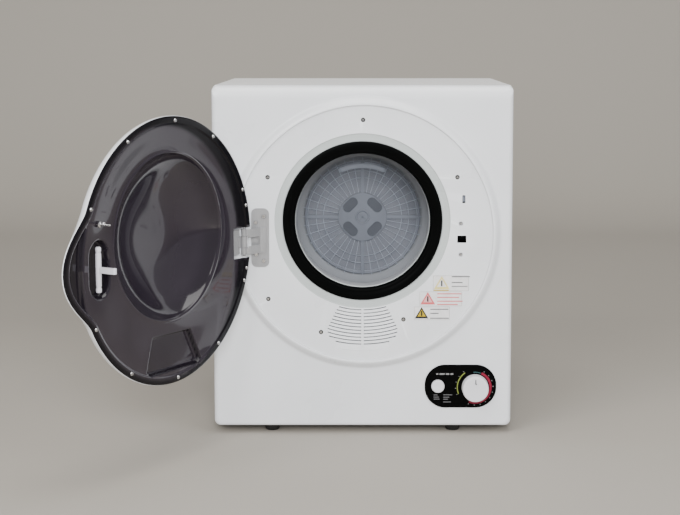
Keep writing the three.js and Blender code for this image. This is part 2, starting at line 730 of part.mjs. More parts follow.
// Round grille over the lint screen: rings and ribs around a cross-shaped boss.
function filterCover(group) {
  const y0 = FILTER_FRONT;
  const y1 = FILTER_FRONT + 5;
  const rings = [[96, FILTER_R], [81, 85], [68.5, 71.5]].map(([a, b]) => tube(0, AXIS_Z, a, b, y0, y1, 24));
  const boss = rod(0, AXIS_Z, 43, y0, y1 + 2, 16);
  const ribs = [];
  for (let i = 0; i < FILTER_RIBS; i += 1) {
    const half = i % (FILTER_RIBS / 4) === 0 ? 3.2 : 1.2;
    const rib = box(40, 98, y0 + 0.5, y1, -half, half);
    ribs.push(rib.rotate([0, (i * 360) / FILTER_RIBS, 0]).translate([0, 0, AXIS_Z]));
  }
  const windows = [];
  for (let i = 0; i < 4; i += 1) {
    const window = prism(roundedRectangle(18, 39, -9, 9, 8.5), y0 - 1, y1 + 5, 'y', 2);
    windows.push(window.rotate([0, 45 + i * 90, 0]).translate([0, 0, AXIS_Z]));
  }
  const nut = turned(0, AXIS_Z, [[0, y0 - 3], [11, y0 - 3], [13, y0 + 1], [0, y0 + 1]], 12);
  add(group, 'filter_cover', join(cut(join(boss, ...rings, ...ribs), ...windows), nut), 'grey_plastic');
}

// ---------------------------------------------------------------- drive and airflow

// Outline of a belt round two pulleys: the two circles' outer tangents and far arcs.
function beltOutline(large, small, offset) {
  const dx = small.x - large.x;
  const dz = small.z - large.z;
  const heading = Math.atan2(dz, dx);
  const lean = Math.acos((large.r - small.r) / Math.hypot(dx, dz));
  const shape = new THREE.Shape();
  shape.absarc(large.x, large.z, large.r + offset, heading + lean, heading - lean + 2 * Math.PI);
  shape.absarc(small.x, small.z, small.r + offset, heading - lean, heading + lean);
  shape.closePath();
  return shape;
}

function belt(large, small, y, width, curveSegments) {
  const outline = beltOutline(large, small, GAP + BELT_THICK);
  const outer = prism(outline, y - width / 2, y + width / 2, 'y', curveSegments);
  const inner = prism(beltOutline(large, small, GAP), y - width, y + width, 'y', curveSegments);
  return cut(outer, inner);
}

const drumTrack = { x: 0, z: AXIS_Z, r: DRUM_R + DRUM_SHEET + 0.4 };
const drivePulley = { x: MOTOR.x, z: MOTOR.z, r: DRIVE_PULLEY_R + 0.2 };
const fanPulley = { x: 0, z: AXIS_Z, r: FAN_PULLEY_R + 0.2 };
const fanDrive = { x: MOTOR.x, z: MOTOR.z, r: FAN_DRIVE_R + 0.2 };

// The idler's rim presses on the outside of the slack run, part of the way down.
function idlerCentre() {
  const dx = drivePulley.x - drumTrack.x;
  const dz = drivePulley.z - drumTrack.z;
  const heading = Math.atan2(dz, dx);
  const lean = Math.acos((drumTrack.r - drivePulley.r) / Math.hypot(dx, dz));
  const normal = heading - lean;
  const clear = drivePulley.r + 2 * GAP + BELT_THICK + IDLER_R;
  const along = 62;
  return {
    x: drivePulley.x + clear * Math.cos(normal) + along * Math.sin(normal),
    z: drivePulley.z + clear * Math.sin(normal) - along * Math.cos(normal),
  };
}

function motor(group) {
  const { x, z, r, front, rear } = MOTOR;
  const bore = rod(x, z, 6.4, front - 1, rear + 1, 12);
  const can = turned(x, z, [
    [0, front],
    [22, front],
    [26, front + 8],
    [r, front + 12],
    [r, rear - 12],
    [26, rear - 8],
    [22, rear],
    [0, rear],
  ], 24);
  add(group, 'motor_body', cut(can, bore), 'zinc');
  const cradle = cut(
    box(x - 34, x + 34, front + 16, rear - 16, 26 + GAP, z - 12),
    rod(x, z, r + GAP, front, rear, 24),
  );
  add(group, 'motor_bracket', cradle, 'zinc');
}

function motorRotor(group) {
  const { x, z } = MOTOR;
  const shaft = turned(x, z, [
    [0, DRUM_BELT_Y - 8],
    [DRIVE_PULLEY_R + 2, DRUM_BELT_Y - 8],
    [DRIVE_PULLEY_R + 2, DRUM_BELT_Y - 5],
    [DRIVE_PULLEY_R, DRUM_BELT_Y - 5],
    [DRIVE_PULLEY_R, DRUM_BELT_Y + 5],
    [DRIVE_PULLEY_R + 2, DRUM_BELT_Y + 5],
    [DRIVE_PULLEY_R + 2, DRUM_BELT_Y + 8],
    [6, DRUM_BELT_Y + 8],
    [6, FAN_BELT_Y + 10],
    [0, FAN_BELT_Y + 10],
  ], 16);
  add(group, 'motor_shaft', shaft, 'steel');
  add(group, 'fan_drive_pulley', pulley(x, z, FAN_DRIVE_R, FAN_BELT_Y, 6 + GAP), 'black_plastic');
}

function pulley(x, z, r, y, bore) {
  return turned(x, z, [
    [bore, y - 7],
    [r + 3, y - 7],
    [r + 3, y - 4.8],
    [r, y - 4.5],
    [r, y + 4.5],
    [r + 3, y + 4.8],
    [r + 3, y + 7],
    [bore, y + 7],
  ], 20);
}

function belts(group) {
  add(group, 'drum_belt', belt(drumTrack, drivePulley, DRUM_BELT_Y, BELT_WIDTH, 16), 'rubber');
  add(group, 'fan_belt', belt(fanPulley, fanDrive, FAN_BELT_Y, BELT_WIDTH, 10), 'rubber');
}

function idler(group) {
  const { x, z } = idlerCentre();
  const wheel = turned(x, z, [
    [3 + GAP, DRUM_BELT_Y - 6],
    [IDLER_R, DRUM_BELT_Y - 6],
    [IDLER_R, DRUM_BELT_Y + 6],
    [3 + GAP, DRUM_BELT_Y + 6],
  ], 20);
  add(group, 'idler_pulley', wheel, 'black_plastic');
}

function idlerBracket(group) {
  const { x, z } = idlerCentre();
  const y = DRUM_BELT_Y + 8;
  const floor = BODY_BOTTOM + SHEET + GAP;
  const post = box(x - 8, x + 8, y, y + 4, floor, z + 8);
  const footing = box(x - 8, x + 8, y, y + 30, floor, floor + 3);
  const axle = rod(x, z, 3, DRUM_BELT_Y - 8, y + 2, 16);
  add(group, 'idler_bracket', join(post, footing, axle), 'zinc');
}

function airflow(group) {
  const innerHalf = HALF_WIDTH - SHEET - 2 * GAP - SHEET - 1;
  const sheet = box(-innerHalf, innerHalf, BULKHEAD_Y, BULKHEAD_Y + 2, 32, TOP - 20);
  const vents = [];
  for (let i = 0; i < 6; i += 1) {
    const angle = degrees(30 + i * 60);
    const x = 64 * Math.cos(angle);
    const z = AXIS_Z + 64 * Math.sin(angle);
    vents.push(rod(x, z, 28, BULKHEAD_Y - 1, BULKHEAD_Y + 3, 14));
  }
  const motorHole = rod(MOTOR.x, MOTOR.z, MOTOR.r + 8, BULKHEAD_Y - 1, BULKHEAD_Y + 3, 20);
  const bearingHole = rod(0, AXIS_Z, 14, BULKHEAD_Y - 1, BULKHEAD_Y + 3, 16);
  add(group, 'rear_bulkhead', cut(sheet, ...vents, motorHole, bearingHole), 'zinc');
  const bearing = turned(0, AXIS_Z, [
    [8.4, BULKHEAD_Y - 6],
    [20, BULKHEAD_Y - 6],
    [20, BULKHEAD_Y - GAP],
    [13.7, BULKHEAD_Y - GAP],
    [13.7, BULKHEAD_Y + 12],
    [8.4, BULKHEAD_Y + 12],
  ], 16);
  add(group, 'drum_bearing', bearing, 'copper');
  add(group, 'fan_housing', fanHousing(), 'black_plastic');
  const collar = join(
    tube(EXHAUST.x, EXHAUST.z, EXHAUST.r - 2, EXHAUST.r, HOUSING_REAR + GAP, BACK + 16, 24),
    tube(EXHAUST.x, EXHAUST.z, EXHAUST.r - 1, EXHAUST.r + 10, BACK + GAP, BACK + 2.5, 24),
  );
  add(group, 'exhaust_collar', collar, 'white_plastic');
  const floor = BODY_BOTTOM + SHEET + GAP;
  const heater = cut(
    box(-120, 20, -150, -70, floor, 96),
    box(-112, 12, -142, -78, floor + 8, 88),
    box(-105, 5, -160, -140, floor + 12, 84),
    box(-105, 5, -80, -60, floor + 12, 84),
  );
  add(group, 'heater_box', heater, 'zinc');
  const duct = cut(
    box(-62, 62, SEAT_FLOOR + 8.4, SEAT_FLOOR + 22, 140, 214),
    box(-59, 59, SEAT_FLOOR + 5, SEAT_FLOOR + 19, 143, 208),
    rod(0, MOUTH_Z, MOUTH_LIP_R + 2 + GAP, SEAT_FLOOR, SEAT_FLOOR + 30, 40),
    rod(0, AXIS_Z, SUPPORT_R + GAP, SEAT_FLOOR + 13, SEAT_FLOOR + 30, 40),
    box(-59, 59, SEAT_FLOOR + 11, SEAT_FLOOR + 19, 130, 150),
  );
  add(group, 'air_duct', duct, 'grey_plastic');
  const gland = turned(-200, 60, [
    [4, BACK - 6],
    [8.8, BACK - 6],
    [8.8, BACK + GAP],
    [12, BACK + GAP],
    [12, BACK + 3],
    [7, BACK + 8],
    [4, BACK + 8],
  ], 14);
  add(group, 'cord_gland', gland, 'rubber');
}

function fanHousing() {
  const front = BULKHEAD_Y + 2 + GAP;
  const shaftHole = rod(0, AXIS_Z, 7, front, HOUSING_REAR + 5, 12);
  const outer = join(
    rod(0, AXIS_Z, HOUSING_R, front, HOUSING_REAR, 36),
    box(EXHAUST.x - 56, EXHAUST.x + 46, front + 20, HOUSING_REAR, EXHAUST.z - 54, AXIS_Z),
  );
  const inner = join(
    rod(0, AXIS_Z, HOUSING_R - 3, front - 1, HOUSING_REAR - 3, 36),
    box(EXHAUST.x - 53, EXHAUST.x + 43, front + 23, HOUSING_REAR - 3, EXHAUST.z - 51, AXIS_Z),
  );
  const outlet = rod(EXHAUST.x, EXHAUST.z, EXHAUST.r - 2, HOUSING_REAR - 10, HOUSING_REAR + 5, 24);
  return cut(outer, inner, shaftHole, outlet);
}

function blower(group) {
  const rear = HOUSING_REAR - 8;
  const disc = rod(0, AXIS_Z, BLOWER_R, rear - 2.5, rear, 28);
  const hub = rod(0, AXIS_Z, 16, BLOWER_FRONT + 20, rear, 16);
  const shroud = tube(0, AXIS_Z, BLOWER_R - 24, BLOWER_R, BLOWER_FRONT, BLOWER_FRONT + 2, 28);
  const blades = [];
  for (let i = 0; i < BLOWER_BLADES; i += 1) {
    const blade = box(BLOWER_R - 24, BLOWER_R - 1, BLOWER_FRONT + 1, rear - 1, -1, 1);
    const pitched = blade.rotate([0, 25, 0]).translate([7, 0, 41]);
    blades.push(pitched.rotate([0, (i * 360) / BLOWER_BLADES, 0]).translate([0, 0, AXIS_Z]));
  }
  const shaft = rod(0, AXIS_Z, 5, rear - 4, FAN_BELT_Y + 9, 12);
  add(group, 'blower_wheel', join(disc, hub, shroud, ...blades, shaft), 'grey_plastic');
  add(group, 'blower_pulley', pulley(0, AXIS_Z, FAN_PULLEY_R, FAN_BELT_Y, 5 + GAP), 'black_plastic');
}

// ---------------------------------------------------------------- assembly

const dryer = new THREE.Group();
casing(dryer);
loadingOpening(dryer);
controls(dryer);
timerKnob(dryer);
selectorButton(dryer);
interlock(dryer);
switchPlunger(dryer);
hingeFixed(dryer);
door(dryer);
drum(dryer);
filterCover(dryer);
motor(dryer);
motorRotor(dryer);
belts(dryer);
idler(dryer);
idlerBracket(dryer);
airflow(dryer);
blower(dryer);

export default dryer;
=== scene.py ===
"""Compact tumble dryer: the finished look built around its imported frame."""

import json
import math

import bmesh
import bpy
from mathutils import Matrix, Vector


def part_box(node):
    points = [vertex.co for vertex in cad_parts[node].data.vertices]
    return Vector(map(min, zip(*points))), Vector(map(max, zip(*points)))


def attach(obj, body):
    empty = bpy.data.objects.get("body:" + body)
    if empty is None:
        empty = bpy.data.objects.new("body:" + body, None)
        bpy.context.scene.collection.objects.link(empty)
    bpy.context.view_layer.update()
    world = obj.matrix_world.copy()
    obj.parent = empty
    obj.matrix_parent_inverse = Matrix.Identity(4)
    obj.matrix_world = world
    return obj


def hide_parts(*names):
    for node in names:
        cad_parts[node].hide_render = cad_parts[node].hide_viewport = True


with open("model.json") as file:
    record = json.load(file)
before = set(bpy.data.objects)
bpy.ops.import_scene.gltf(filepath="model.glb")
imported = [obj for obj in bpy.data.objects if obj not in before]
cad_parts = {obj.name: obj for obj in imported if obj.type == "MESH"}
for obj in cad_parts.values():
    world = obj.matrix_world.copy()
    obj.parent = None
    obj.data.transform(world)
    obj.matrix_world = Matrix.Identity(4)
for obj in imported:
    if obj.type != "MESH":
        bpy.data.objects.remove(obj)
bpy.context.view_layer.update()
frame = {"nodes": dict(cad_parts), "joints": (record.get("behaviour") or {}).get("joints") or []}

bl_info = {
    "name": "Compact Dryer Builder",
    "version": (1, 0, 0),
    "blender": (4, 5, 0),
    "location": "View3D > Sidebar > Dryer",
    "description": "Builds a compact tumble dryer around its packed frame",
    "category": "Object",
}

MM = 0.001
TAU = 2 * math.pi


# ------------------------------------------------------------------ places taken from the frame

def middle(node):
    """The middle of a frame node's box."""
    low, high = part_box(node)
    return (low + high) / 2


PANEL_LOW, PANEL_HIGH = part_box("front_panel")
MOUTH = middle("door_seal")
DRUM_AXIS = middle("drum_shell")
FASCIA_LOW, FASCIA_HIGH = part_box("control_fascia")
KNOB_AT = middle("timer_knob")
BUTTON_AT = middle("selector_button")
LATCH_AT = middle("latch_strike")
SWITCH_AT = middle("door_switch_body")
JOINTS = {joint["name"]: joint for joint in frame["joints"]}
HINGE = Vector(JOINTS["door_hinge"]["pos_m"])
OPEN_ANGLE = math.radians(JOINTS["door_hinge"]["range_deg"][1])

SEAT_CREST_Y = PANEL_LOW.y
FLOOR_Y = SEAT_CREST_Y + 4 * MM
FRONT_Y = SEAT_CREST_Y + 9 * MM
SEAT_AT = Vector((3.4 * MM, 0, DRUM_AXIS.z))
HALF_WIDTH = PANEL_HIGH.x
TOP_Z = PANEL_HIGH.z
BOTTOM_Z = PANEL_LOW.z
RIM_Y = FLOOR_Y - 14 * MM


# ------------------------------------------------------------------ sizes and colours a user may change

class DryerSizes(bpy.types.PropertyGroup):
    """Sizes of the visible mouldings."""

    top_roll: bpy.props.FloatProperty(
        name="Top roll", description="Radius along the front's top edge",
        default=22 * MM, unit="LENGTH")
    side_roll: bpy.props.FloatProperty(
        name="Side roll", description="Radius along the front's sides",
        default=9 * MM, unit="LENGTH")
    louvre_pitch: bpy.props.FloatProperty(
        name="Louvre pitch", description="Distance between rows of air slots",
        default=5.7 * MM, unit="LENGTH")
    door_radius: bpy.props.FloatProperty(
        name="Door radius", description="Radius of the round door",
        default=203 * MM, unit="LENGTH")
    grip_reach: bpy.props.FloatProperty(
        name="Grip reach", description="How far the grip stands out of the door's circle",
        default=34 * MM, unit="LENGTH")
    bowl_depth: bpy.props.FloatProperty(
        name="Bowl depth", description="Depth of the bowl in the door's liner",
        default=43 * MM, unit="LENGTH")


class DryerFinishes(bpy.types.PropertyGroup):
    """Colours of the main finishes."""

    body_white: bpy.props.FloatVectorProperty(
        name="Body white", description="Moulded front and door frame",
        default=(0.76, 0.775, 0.80), subtype="COLOR", size=3)
    smoke: bpy.props.FloatVectorProperty(
        name="Smoke", description="Smoky door plastic",
        default=(0.021, 0.0162, 0.0235), subtype="COLOR", size=3)
    filter_grey: bpy.props.FloatVectorProperty(
        name="Filter grey", description="Filter grille plastic",
        default=(0.205, 0.222, 0.262), subtype="COLOR", size=3)
    dial_red: bpy.props.FloatVectorProperty(
        name="Dial red", description="Printed crimson arc",
        default=(0.20, 0.006, 0.026), subtype="COLOR", size=3)


def sizes():
    return bpy.context.scene.dryer_sizes


def finishes():
    return bpy.context.scene.dryer_finishes


# ------------------------------------------------------------------ shader node groups

def new_group(name, inputs, outputs):
    """An empty shader node group with the sockets given as (name, kind, start value)."""
    group = bpy.data.node_groups.new(name, "ShaderNodeTree")
    for label, kind, value in inputs:
        socket = group.interface.new_socket(label, in_out="INPUT", socket_type=kind)
        socket.default_value = value
    for label, kind in outputs:
        group.interface.new_socket(label, in_out="OUTPUT", socket_type=kind)
    return group, group.nodes.new("NodeGroupInput"), group.nodes.new("NodeGroupOutput")


def added(tree, kind, **sockets):
    """A new node whose inputs are set to values or linked to other nodes' outputs."""
    node = tree.nodes.new(kind)
    for label, value in sockets.items():
        socket = node.inputs[label.replace("_", " ")]
        if isinstance(value, bpy.types.NodeSocket):
            tree.links.new(value, socket)
        else:
            socket.default_value = value
    return node


def math_node(group, operation, a, b):
    """The result of a math node on two values or outputs."""
    node = group.nodes.new("ShaderNodeMath")
    node.operation = operation
    for value, socket in zip((a, b), node.inputs):
        if isinstance(value, (int, float)):
            socket.default_value = value
        else:
            group.links.new(value, socket)
    return node.outputs[0]


def grain_group():
    """Fine moulded grain: a height and a slow mottle from object coordinates."""
    group, given, result = new_group(
        "moulded_grain",
        [("Grain Scale", "NodeSocketFloat", 900.0), ("Mottle Scale", "NodeSocketFloat", 9.0)],
        [("Height", "NodeSocketFloat"), ("Mottle", "NodeSocketFloat")])
    place = group.nodes.new("ShaderNodeTexCoord").outputs["Object"]
    for output, scale, detail in (("Height", "Grain Scale", 2.0), ("Mottle", "Mottle Scale", 4.0)):
        noise = added(group, "ShaderNodeTexNoise", Vector=place, Scale=given.outputs[scale],
                      Detail=detail)
        group.links.new(noise.outputs["Fac"], result.inputs[output])
    return group


def wear_group():
    """Rubbed edges and settled dust: masks from pointiness, slope and noise."""
    group, given, result = new_group(
        "wear_and_dust",
        [("Edge Width", "NodeSocketFloat", 0.08), ("Dust Amount", "NodeSocketFloat", 0.3)],
        [("Edge", "NodeSocketFloat"), ("Dust", "NodeSocketFloat")])
    place = group.nodes.new("ShaderNodeTexCoord")
    shape = group.nodes.new("ShaderNodeNewGeometry")
    noise = added(group, "ShaderNodeTexNoise", Vector=place.outputs["Object"], Scale=38.0,
                  Detail=6.0).outputs["Fac"]
    widest = math_node(group, "ADD", given.outputs["Edge Width"], 0.5)
    edge = added(group, "ShaderNodeMapRange", Value=shape.outputs["Pointiness"], From_Min=0.5,
                 From_Max=widest)
    worn = math_node(group, "MULTIPLY", edge.outputs["Result"], noise)
    group.links.new(worn, result.inputs["Edge"])
    slope = added(group, "ShaderNodeSeparateXYZ", Vector=shape.outputs["Normal"])
    up = math_node(group, "MAXIMUM", slope.outputs["Z"], 0.0)
    settled = math_node(group, "MULTIPLY", up, noise)
    dust = math_node(group, "MULTIPLY", settled, given.outputs["Dust Amount"])
    group.links.new(dust, result.inputs["Dust"])
    return group


def brushed_group():
    """Drawn-metal streaks along one axis."""
    group, given, result = new_group(
        "brushed_streaks",
        [("Along", "NodeSocketVector", (1.0, 40.0, 40.0)), ("Scale", "NodeSocketFloat", 60.0)],
        [("Streak", "NodeSocketFloat")])
    place = group.nodes.new("ShaderNodeTexCoord")
    stretch = group.nodes.new("ShaderNodeVectorMath")
    stretch.operation = "MULTIPLY"
    group.links.new(place.outputs["Object"], stretch.inputs[0])
    group.links.new(given.outputs["Along"], stretch.inputs[1])
    noise = added(group, "ShaderNodeTexNoise", Vector=stretch.outputs["Vector"],
                  Scale=given.outputs["Scale"], Detail=5.0)
    group.links.new(noise.outputs["Fac"], result.inputs["Streak"])
    return group


SHARED = {}


def shared(name):
    """A shader node group, made the first time it is asked for."""
    makers = {"grain": grain_group, "wear": wear_group, "brushed": brushed_group}
    if name not in SHARED:
        SHARED[name] = makers[name]()
    return SHARED[name]


# ------------------------------------------------------------------ materials

class Finish:
    """A material under construction, with its Principled shader at hand."""

    def __init__(self, name, base, roughness, metallic=0.0):
        self.material = bpy.data.materials.new(name)
        self.material.use_nodes = True
        self.tree = self.material.node_tree
        self.nodes = self.tree.nodes
        self.shader = self.nodes["Principled BSDF"]
        self.shader.inputs["Base Color"].default_value = (*base, 1)
        self.shader.inputs["Roughness"].default_value = roughness
        self.shader.inputs["Metallic"].default_value = metallic

    def group(self, name, **values):
        node = self.nodes.new("ShaderNodeGroup")
        node.node_tree = shared(name)
        for label, value in values.items():
            node.inputs[label.replace("_", " ")].default_value = value
        return node

    def mix(self, factor, a, b):
        node = self.nodes.new("ShaderNodeMix")
        node.data_type = "RGBA"
        for value, socket in ((factor, node.inputs[0]), (a, node.inputs[6]), (b, node.inputs[7])):
            if isinstance(value, (int, float)):
                socket.default_value = value
            elif isinstance(value, tuple):
                socket.default_value = (*value, 1)
            else:
                self.tree.links.new(value, socket)
        return node.outputs[2]

    def range(self, value, low, high, from_low=0.3, from_high=0.7):
        node = added(self.tree, "ShaderNodeMapRange", Value=value, From_Min=from_low,
                     From_Max=from_high, To_Min=low, To_Max=high)
        return node.outputs["Result"]

    def along(self, axis):
        """The object coordinate along one axis."""
        place = self.nodes.new("ShaderNodeTexCoord")
        split = added(self.tree, "ShaderNodeSeparateXYZ", Vector=place.outputs["Object"])
        return split.outputs[axis]

    def bump(self, height, strength, distance=0.1 * MM):
        node = added(self.tree, "ShaderNodeBump", Strength=strength, Distance=distance,
                     Height=height)
        self.feed("Normal", node.outputs["Normal"])

    def feed(self, label, value):
        self.tree.links.new(value, self.shader.inputs[label])

    def coat(self, weight, roughness=0.05):
        self.shader.inputs["Coat Weight"].default_value = weight
        self.shader.inputs["Coat Roughness"].default_value = roughness


def scaled(colour, factor):
    """A colour made brighter or darker."""
    return tuple(min(1.0, channel * factor) for channel in colour)


def moulded(name, base, roughness, grain=900.0, strength=0.12, coat=0.0,
            dust=0.3, mottle=0.03, specular=0.5):
    """Moulded plastic or rubber: grain, slow mottle, rubbed edges and a little dust."""
    finish = Finish(name, base, roughness)
    grains = finish.group("grain", Grain_Scale=grain)
    wear = finish.group("wear", Dust_Amount=dust)
    mottled = finish.mix(finish.range(grains.outputs["Mottle"], 0, 1),
                         scaled(base, 1 - mottle), scaled(base, 1 + mottle))
    rubbed = finish.mix(wear.outputs["Edge"], mottled, scaled(base, 1.25))
    dusty = finish.mix(wear.outputs["Dust"], rubbed, (0.55, 0.53, 0.5))
    finish.feed("Base Color", dusty)
    finish.feed("Roughness", finish.range(grains.outputs["Mottle"], roughness * 0.85,
                                          roughness * 1.2))
    finish.bump(grains.outputs["Height"], strength)
    finish.shader.inputs["Specular IOR Level"].default_value = specular
    if coat:
        finish.coat(coat)
    return finish.material


def painted(name, base):
    """Powder coat over sheet steel, with orange peel."""
    finish = Finish(name, base, 0.38)
    grains = finish.group("grain", Grain_Scale=420.0, Mottle_Scale=5.0)
    wear = finish.group("wear", Dust_Amount=0.25)
    tone = finish.mix(finish.range(grains.outputs["Mottle"], 0, 1),
                      scaled(base, 0.975), scaled(base, 1.015))
    dusty = finish.mix(wear.outputs["Dust"], tone, (0.58, 0.56, 0.53))
    finish.feed("Base Color", dusty)
    finish.feed("Roughness", finish.range(grains.outputs["Height"], 0.32, 0.45))
    finish.bump(grains.outputs["Height"], 0.25, 0.08 * MM)
    return finish.material


def metal(name, base, roughness, along=(1.0, 40.0, 40.0), metallic=1.0, strength=0.15):
    """Rolled or turned metal with streaks and a little tarnish."""
    finish = Finish(name, base, roughness, metallic)
    streaks = finish.group("brushed", Along=along)
    grains = finish.group("grain", Grain_Scale=500.0, Mottle_Scale=20.0)
    tone = finish.mix(finish.range(streaks.outputs["Streak"], 0, 1),
                      scaled(base, 0.86), scaled(base, 1.08))
    tarnish = finish.mix(finish.range(grains.outputs["Mottle"], 0, 0.35, 0.45, 0.75), tone,
                         scaled(base, 0.7))
    finish.feed("Base Color", tarnish)
    finish.feed("Roughness", finish.range(streaks.outputs["Streak"], roughness * 0.75,
                                          roughness * 1.35))
    finish.bump(streaks.outputs["Streak"], strength, 0.05 * MM)
    return finish.material


def galvanised(name):
    """Zinc sheet with spangles."""
    finish = Finish(name, (0.42, 0.43, 0.45), 0.45, 0.85)
    place = finish.nodes.new("ShaderNodeTexCoord")
    spangle = added(finish.tree, "ShaderNodeTexVoronoi", Vector=place.outputs["Object"],
                    Scale=130.0)
    tone = finish.mix(spangle.outputs["Color"], (0.34, 0.35, 0.37), (0.52, 0.53, 0.55))
    finish.feed("Base Color", tone)
    finish.feed("Roughness", finish.range(spangle.outputs["Distance"], 0.35, 0.6, 0.0, 1.0))
    finish.bump(spangle.outputs["Distance"], 0.1)
    return finish.material


def smoky(name, base, rim, roughness=0.16):
    """Smoky tinted plastic; its Shade attribute holds painted shade, which mixes the colour towards rim
    and thins the coat.
    """
    finish = Finish(name, base, roughness)
    shade = finish.nodes.new("ShaderNodeAttribute")
    shade.attribute_name = "PaintedShade"
    grains = finish.group("grain", Grain_Scale=300.0, Mottle_Scale=14.0)
    streaky = finish.mix(finish.range(grains.outputs["Mottle"], 0, 1), scaled(base, 0.9),
                         scaled(base, 1.1))
    # painted shade: the Shade attribute mixes the colour towards the dark rim colour
    finish.feed("Base Color", finish.mix(shade.outputs["Fac"], streaky, rim))
    finish.feed("Roughness", finish.range(grains.outputs["Mottle"], roughness * 0.8,
                                          roughness * 1.3))
    finish.shader.inputs["Specular IOR Level"].default_value = 0.22
    finish.coat(0.8, 0.04)
    # painted shade also thins the coat, so shaded places reflect less
    finish.feed("Coat Weight", finish.range(shade.outputs["Fac"], 0.8, 0.03, 0.0, 1.0))
    return finish.material


def lint_mesh(name):
    """Fine woven lint screen: bright threads over dark holes."""
    finish = Finish(name, (0.10, 0.11, 0.14), 0.6)
    across, upward = (
        math_node(finish.tree, "SINE",
                  math_node(finish.tree, "MULTIPLY", finish.along(axis), 3600.0), 0)
        for axis in ("X", "Z"))
    threads = math_node(finish.tree, "MAXIMUM", across, upward)
    grains = finish.group("grain", Grain_Scale=700.0, Mottle_Scale=60.0)
    weave = finish.mix(finish.range(threads, 0, 1, 0.1, 0.9), (0.10, 0.11, 0.135),
                       (0.31, 0.325, 0.37))
    finish.feed("Base Color", finish.mix(finish.range(grains.outputs["Mottle"], 0, 0.35), weave,
                                         (0.31, 0.32, 0.35)))
    finish.bump(threads, 0.5, 0.2 * MM)
    return finish.material


def felt(name):
    """Pressed felt."""
    finish = Finish(name, (0.30, 0.29, 0.27), 0.95)
    grains = finish.group("grain", Grain_Scale=1500.0, Mottle_Scale=200.0)
    finish.feed("Base Color", finish.mix(finish.range(grains.outputs["Mottle"], 0, 1),
                                         (0.22, 0.21, 0.19), (0.38, 0.37, 0.35)))
    finish.bump(grains.outputs["Height"], 0.8, 0.3 * MM)
    finish.shader.inputs["Sheen Weight"].default_value = 0.4
    return finish.material


def printed(name, base, roughness=0.45):
    """Screen-printed ink or paper."""
    finish = Finish(name, base, roughness)
    grains = finish.group("grain", Grain_Scale=1200.0, Mottle_Scale=90.0)
    finish.feed("Base Color", finish.mix(finish.range(grains.outputs["Mottle"], 0, 1),
                                         scaled(base, 0.9), scaled(base, 1.06)))
    finish.bump(grains.outputs["Height"], 0.08)
    return finish.material


INKS = {
    "print_green": (0.20, 0.24, 0.045),
    "print_teal": (0.02, 0.07, 0.075),
    "print_pale": (0.22, 0.22, 0.22),
    "print_black": (0.015, 0.015, 0.015),
    "print_yellow": (0.48, 0.34, 0.02),
    "print_cream": (0.72, 0.62, 0.26),
    "print_pink": (0.66, 0.13, 0.14),
    "print_blush": (0.74, 0.42, 0.42),
    "print_line": (0.42, 0.42, 0.42),
    "print_grey": (0.10, 0.10, 0.105),
}


def make_materials():
    """Every finish of the dryer under the name that paint() takes."""
    white = tuple(finishes().body_white)
    smoke = tuple(finishes().smoke)
    grey = tuple(finishes().filter_grey)
    return {
        "white_plastic": moulded("moulded_white", white, 0.3, strength=0.08, coat=0.35),
        "neck_white": moulded("neck_white", (0.62, 0.66, 0.65), 0.22, strength=0.05, coat=0.6),
        "knob_white": moulded("knob_white", (0.70, 0.70, 0.735), 0.38, strength=0.15),
        "latch_white": moulded("latch_white", (0.62, 0.61, 0.66), 0.3, coat=0.3),
        "white_paint": painted("painted_steel", (0.77, 0.775, 0.78)),
        "black_rubber": moulded("foot_rubber", (0.013, 0.013, 0.013), 0.62, 500.0, 0.4,
                                mottle=0.2),
        "black_seal": moulded("seal_rubber", (0.0016, 0.0018, 0.0018), 0.42, 600.0, 0.15,
                              dust=0.0, mottle=0.15, specular=0.04),
        "hinge_steel": metal("hinge_steel", (0.40, 0.40, 0.41), 0.42, (30.0, 30.0, 1.0), 0.35,
                             0.08),
        "screw_steel": metal("screw_steel", (0.72, 0.72, 0.73), 0.22, (20.0, 20.0, 20.0)),
        "zinc_sheet": galvanised("galvanised_sheet"),
        "drum_steel": metal("drum_steel", (0.42, 0.435, 0.445), 0.34, (1.0, 30.0, 30.0), 0.8),
        "drum_rear": moulded("drum_rear_grey", (0.36, 0.375, 0.405), 0.42, strength=0.1,
                             mottle=0.08),
        "grey_plastic": moulded("filter_grey", grey, 0.4, mottle=0.08),
        # painted shade: a darker copy of the grille grey for behind the boss's windows
        "filter_window_shade": moulded("filter_window_shade", scaled(grey, 0.5), 0.5, mottle=0.1),
        # painted highlight: a lighter copy of the grille grey for its rings, thin ribs and handle
        "filter_highlight": moulded("filter_lit_grey", scaled(grey, 1.95), 0.38, mottle=0.05),
        "lint": lint_mesh("lint_weave"),
        # the last colour is the dark that the liner's painted shade mixes in
        "smoke_plastic": smoky("smoky_liner", smoke, (0.0035, 0.003, 0.0045)),
        "window": smoky("smoky_window", (0.030, 0.026, 0.034), (0.01, 0.009, 0.012),
                        roughness=0.05),
        "black_plastic": moulded("gloss_black", (0.0012, 0.0013, 0.0014), 0.16, strength=0.05,
                                 dust=0.0, specular=0.06),
        # painted shade: a darker grey-green copy of the white for the sloping lip round the mouth
        "lip_painted_shade": moulded("lip_painted_shade", (0.47, 0.505, 0.50), 0.3, strength=0.05),
        "felt": felt("pressed_felt"),
        "bronze": metal("sintered_bronze", (0.55, 0.36, 0.18), 0.4),
        # painted shade: near-black for the bottom of the screw sinks
        "sink_shade": moulded("painted_sink_shade", (0.008, 0.008, 0.009), 0.7, dust=0.0),
        "print_red": printed("print_red", tuple(finishes().dial_red), 0.6),
        "paper": printed("label_paper", (0.78, 0.77, 0.77), 0.5),
        **{name: printed(name, base) for name, base in INKS.items()},
    }


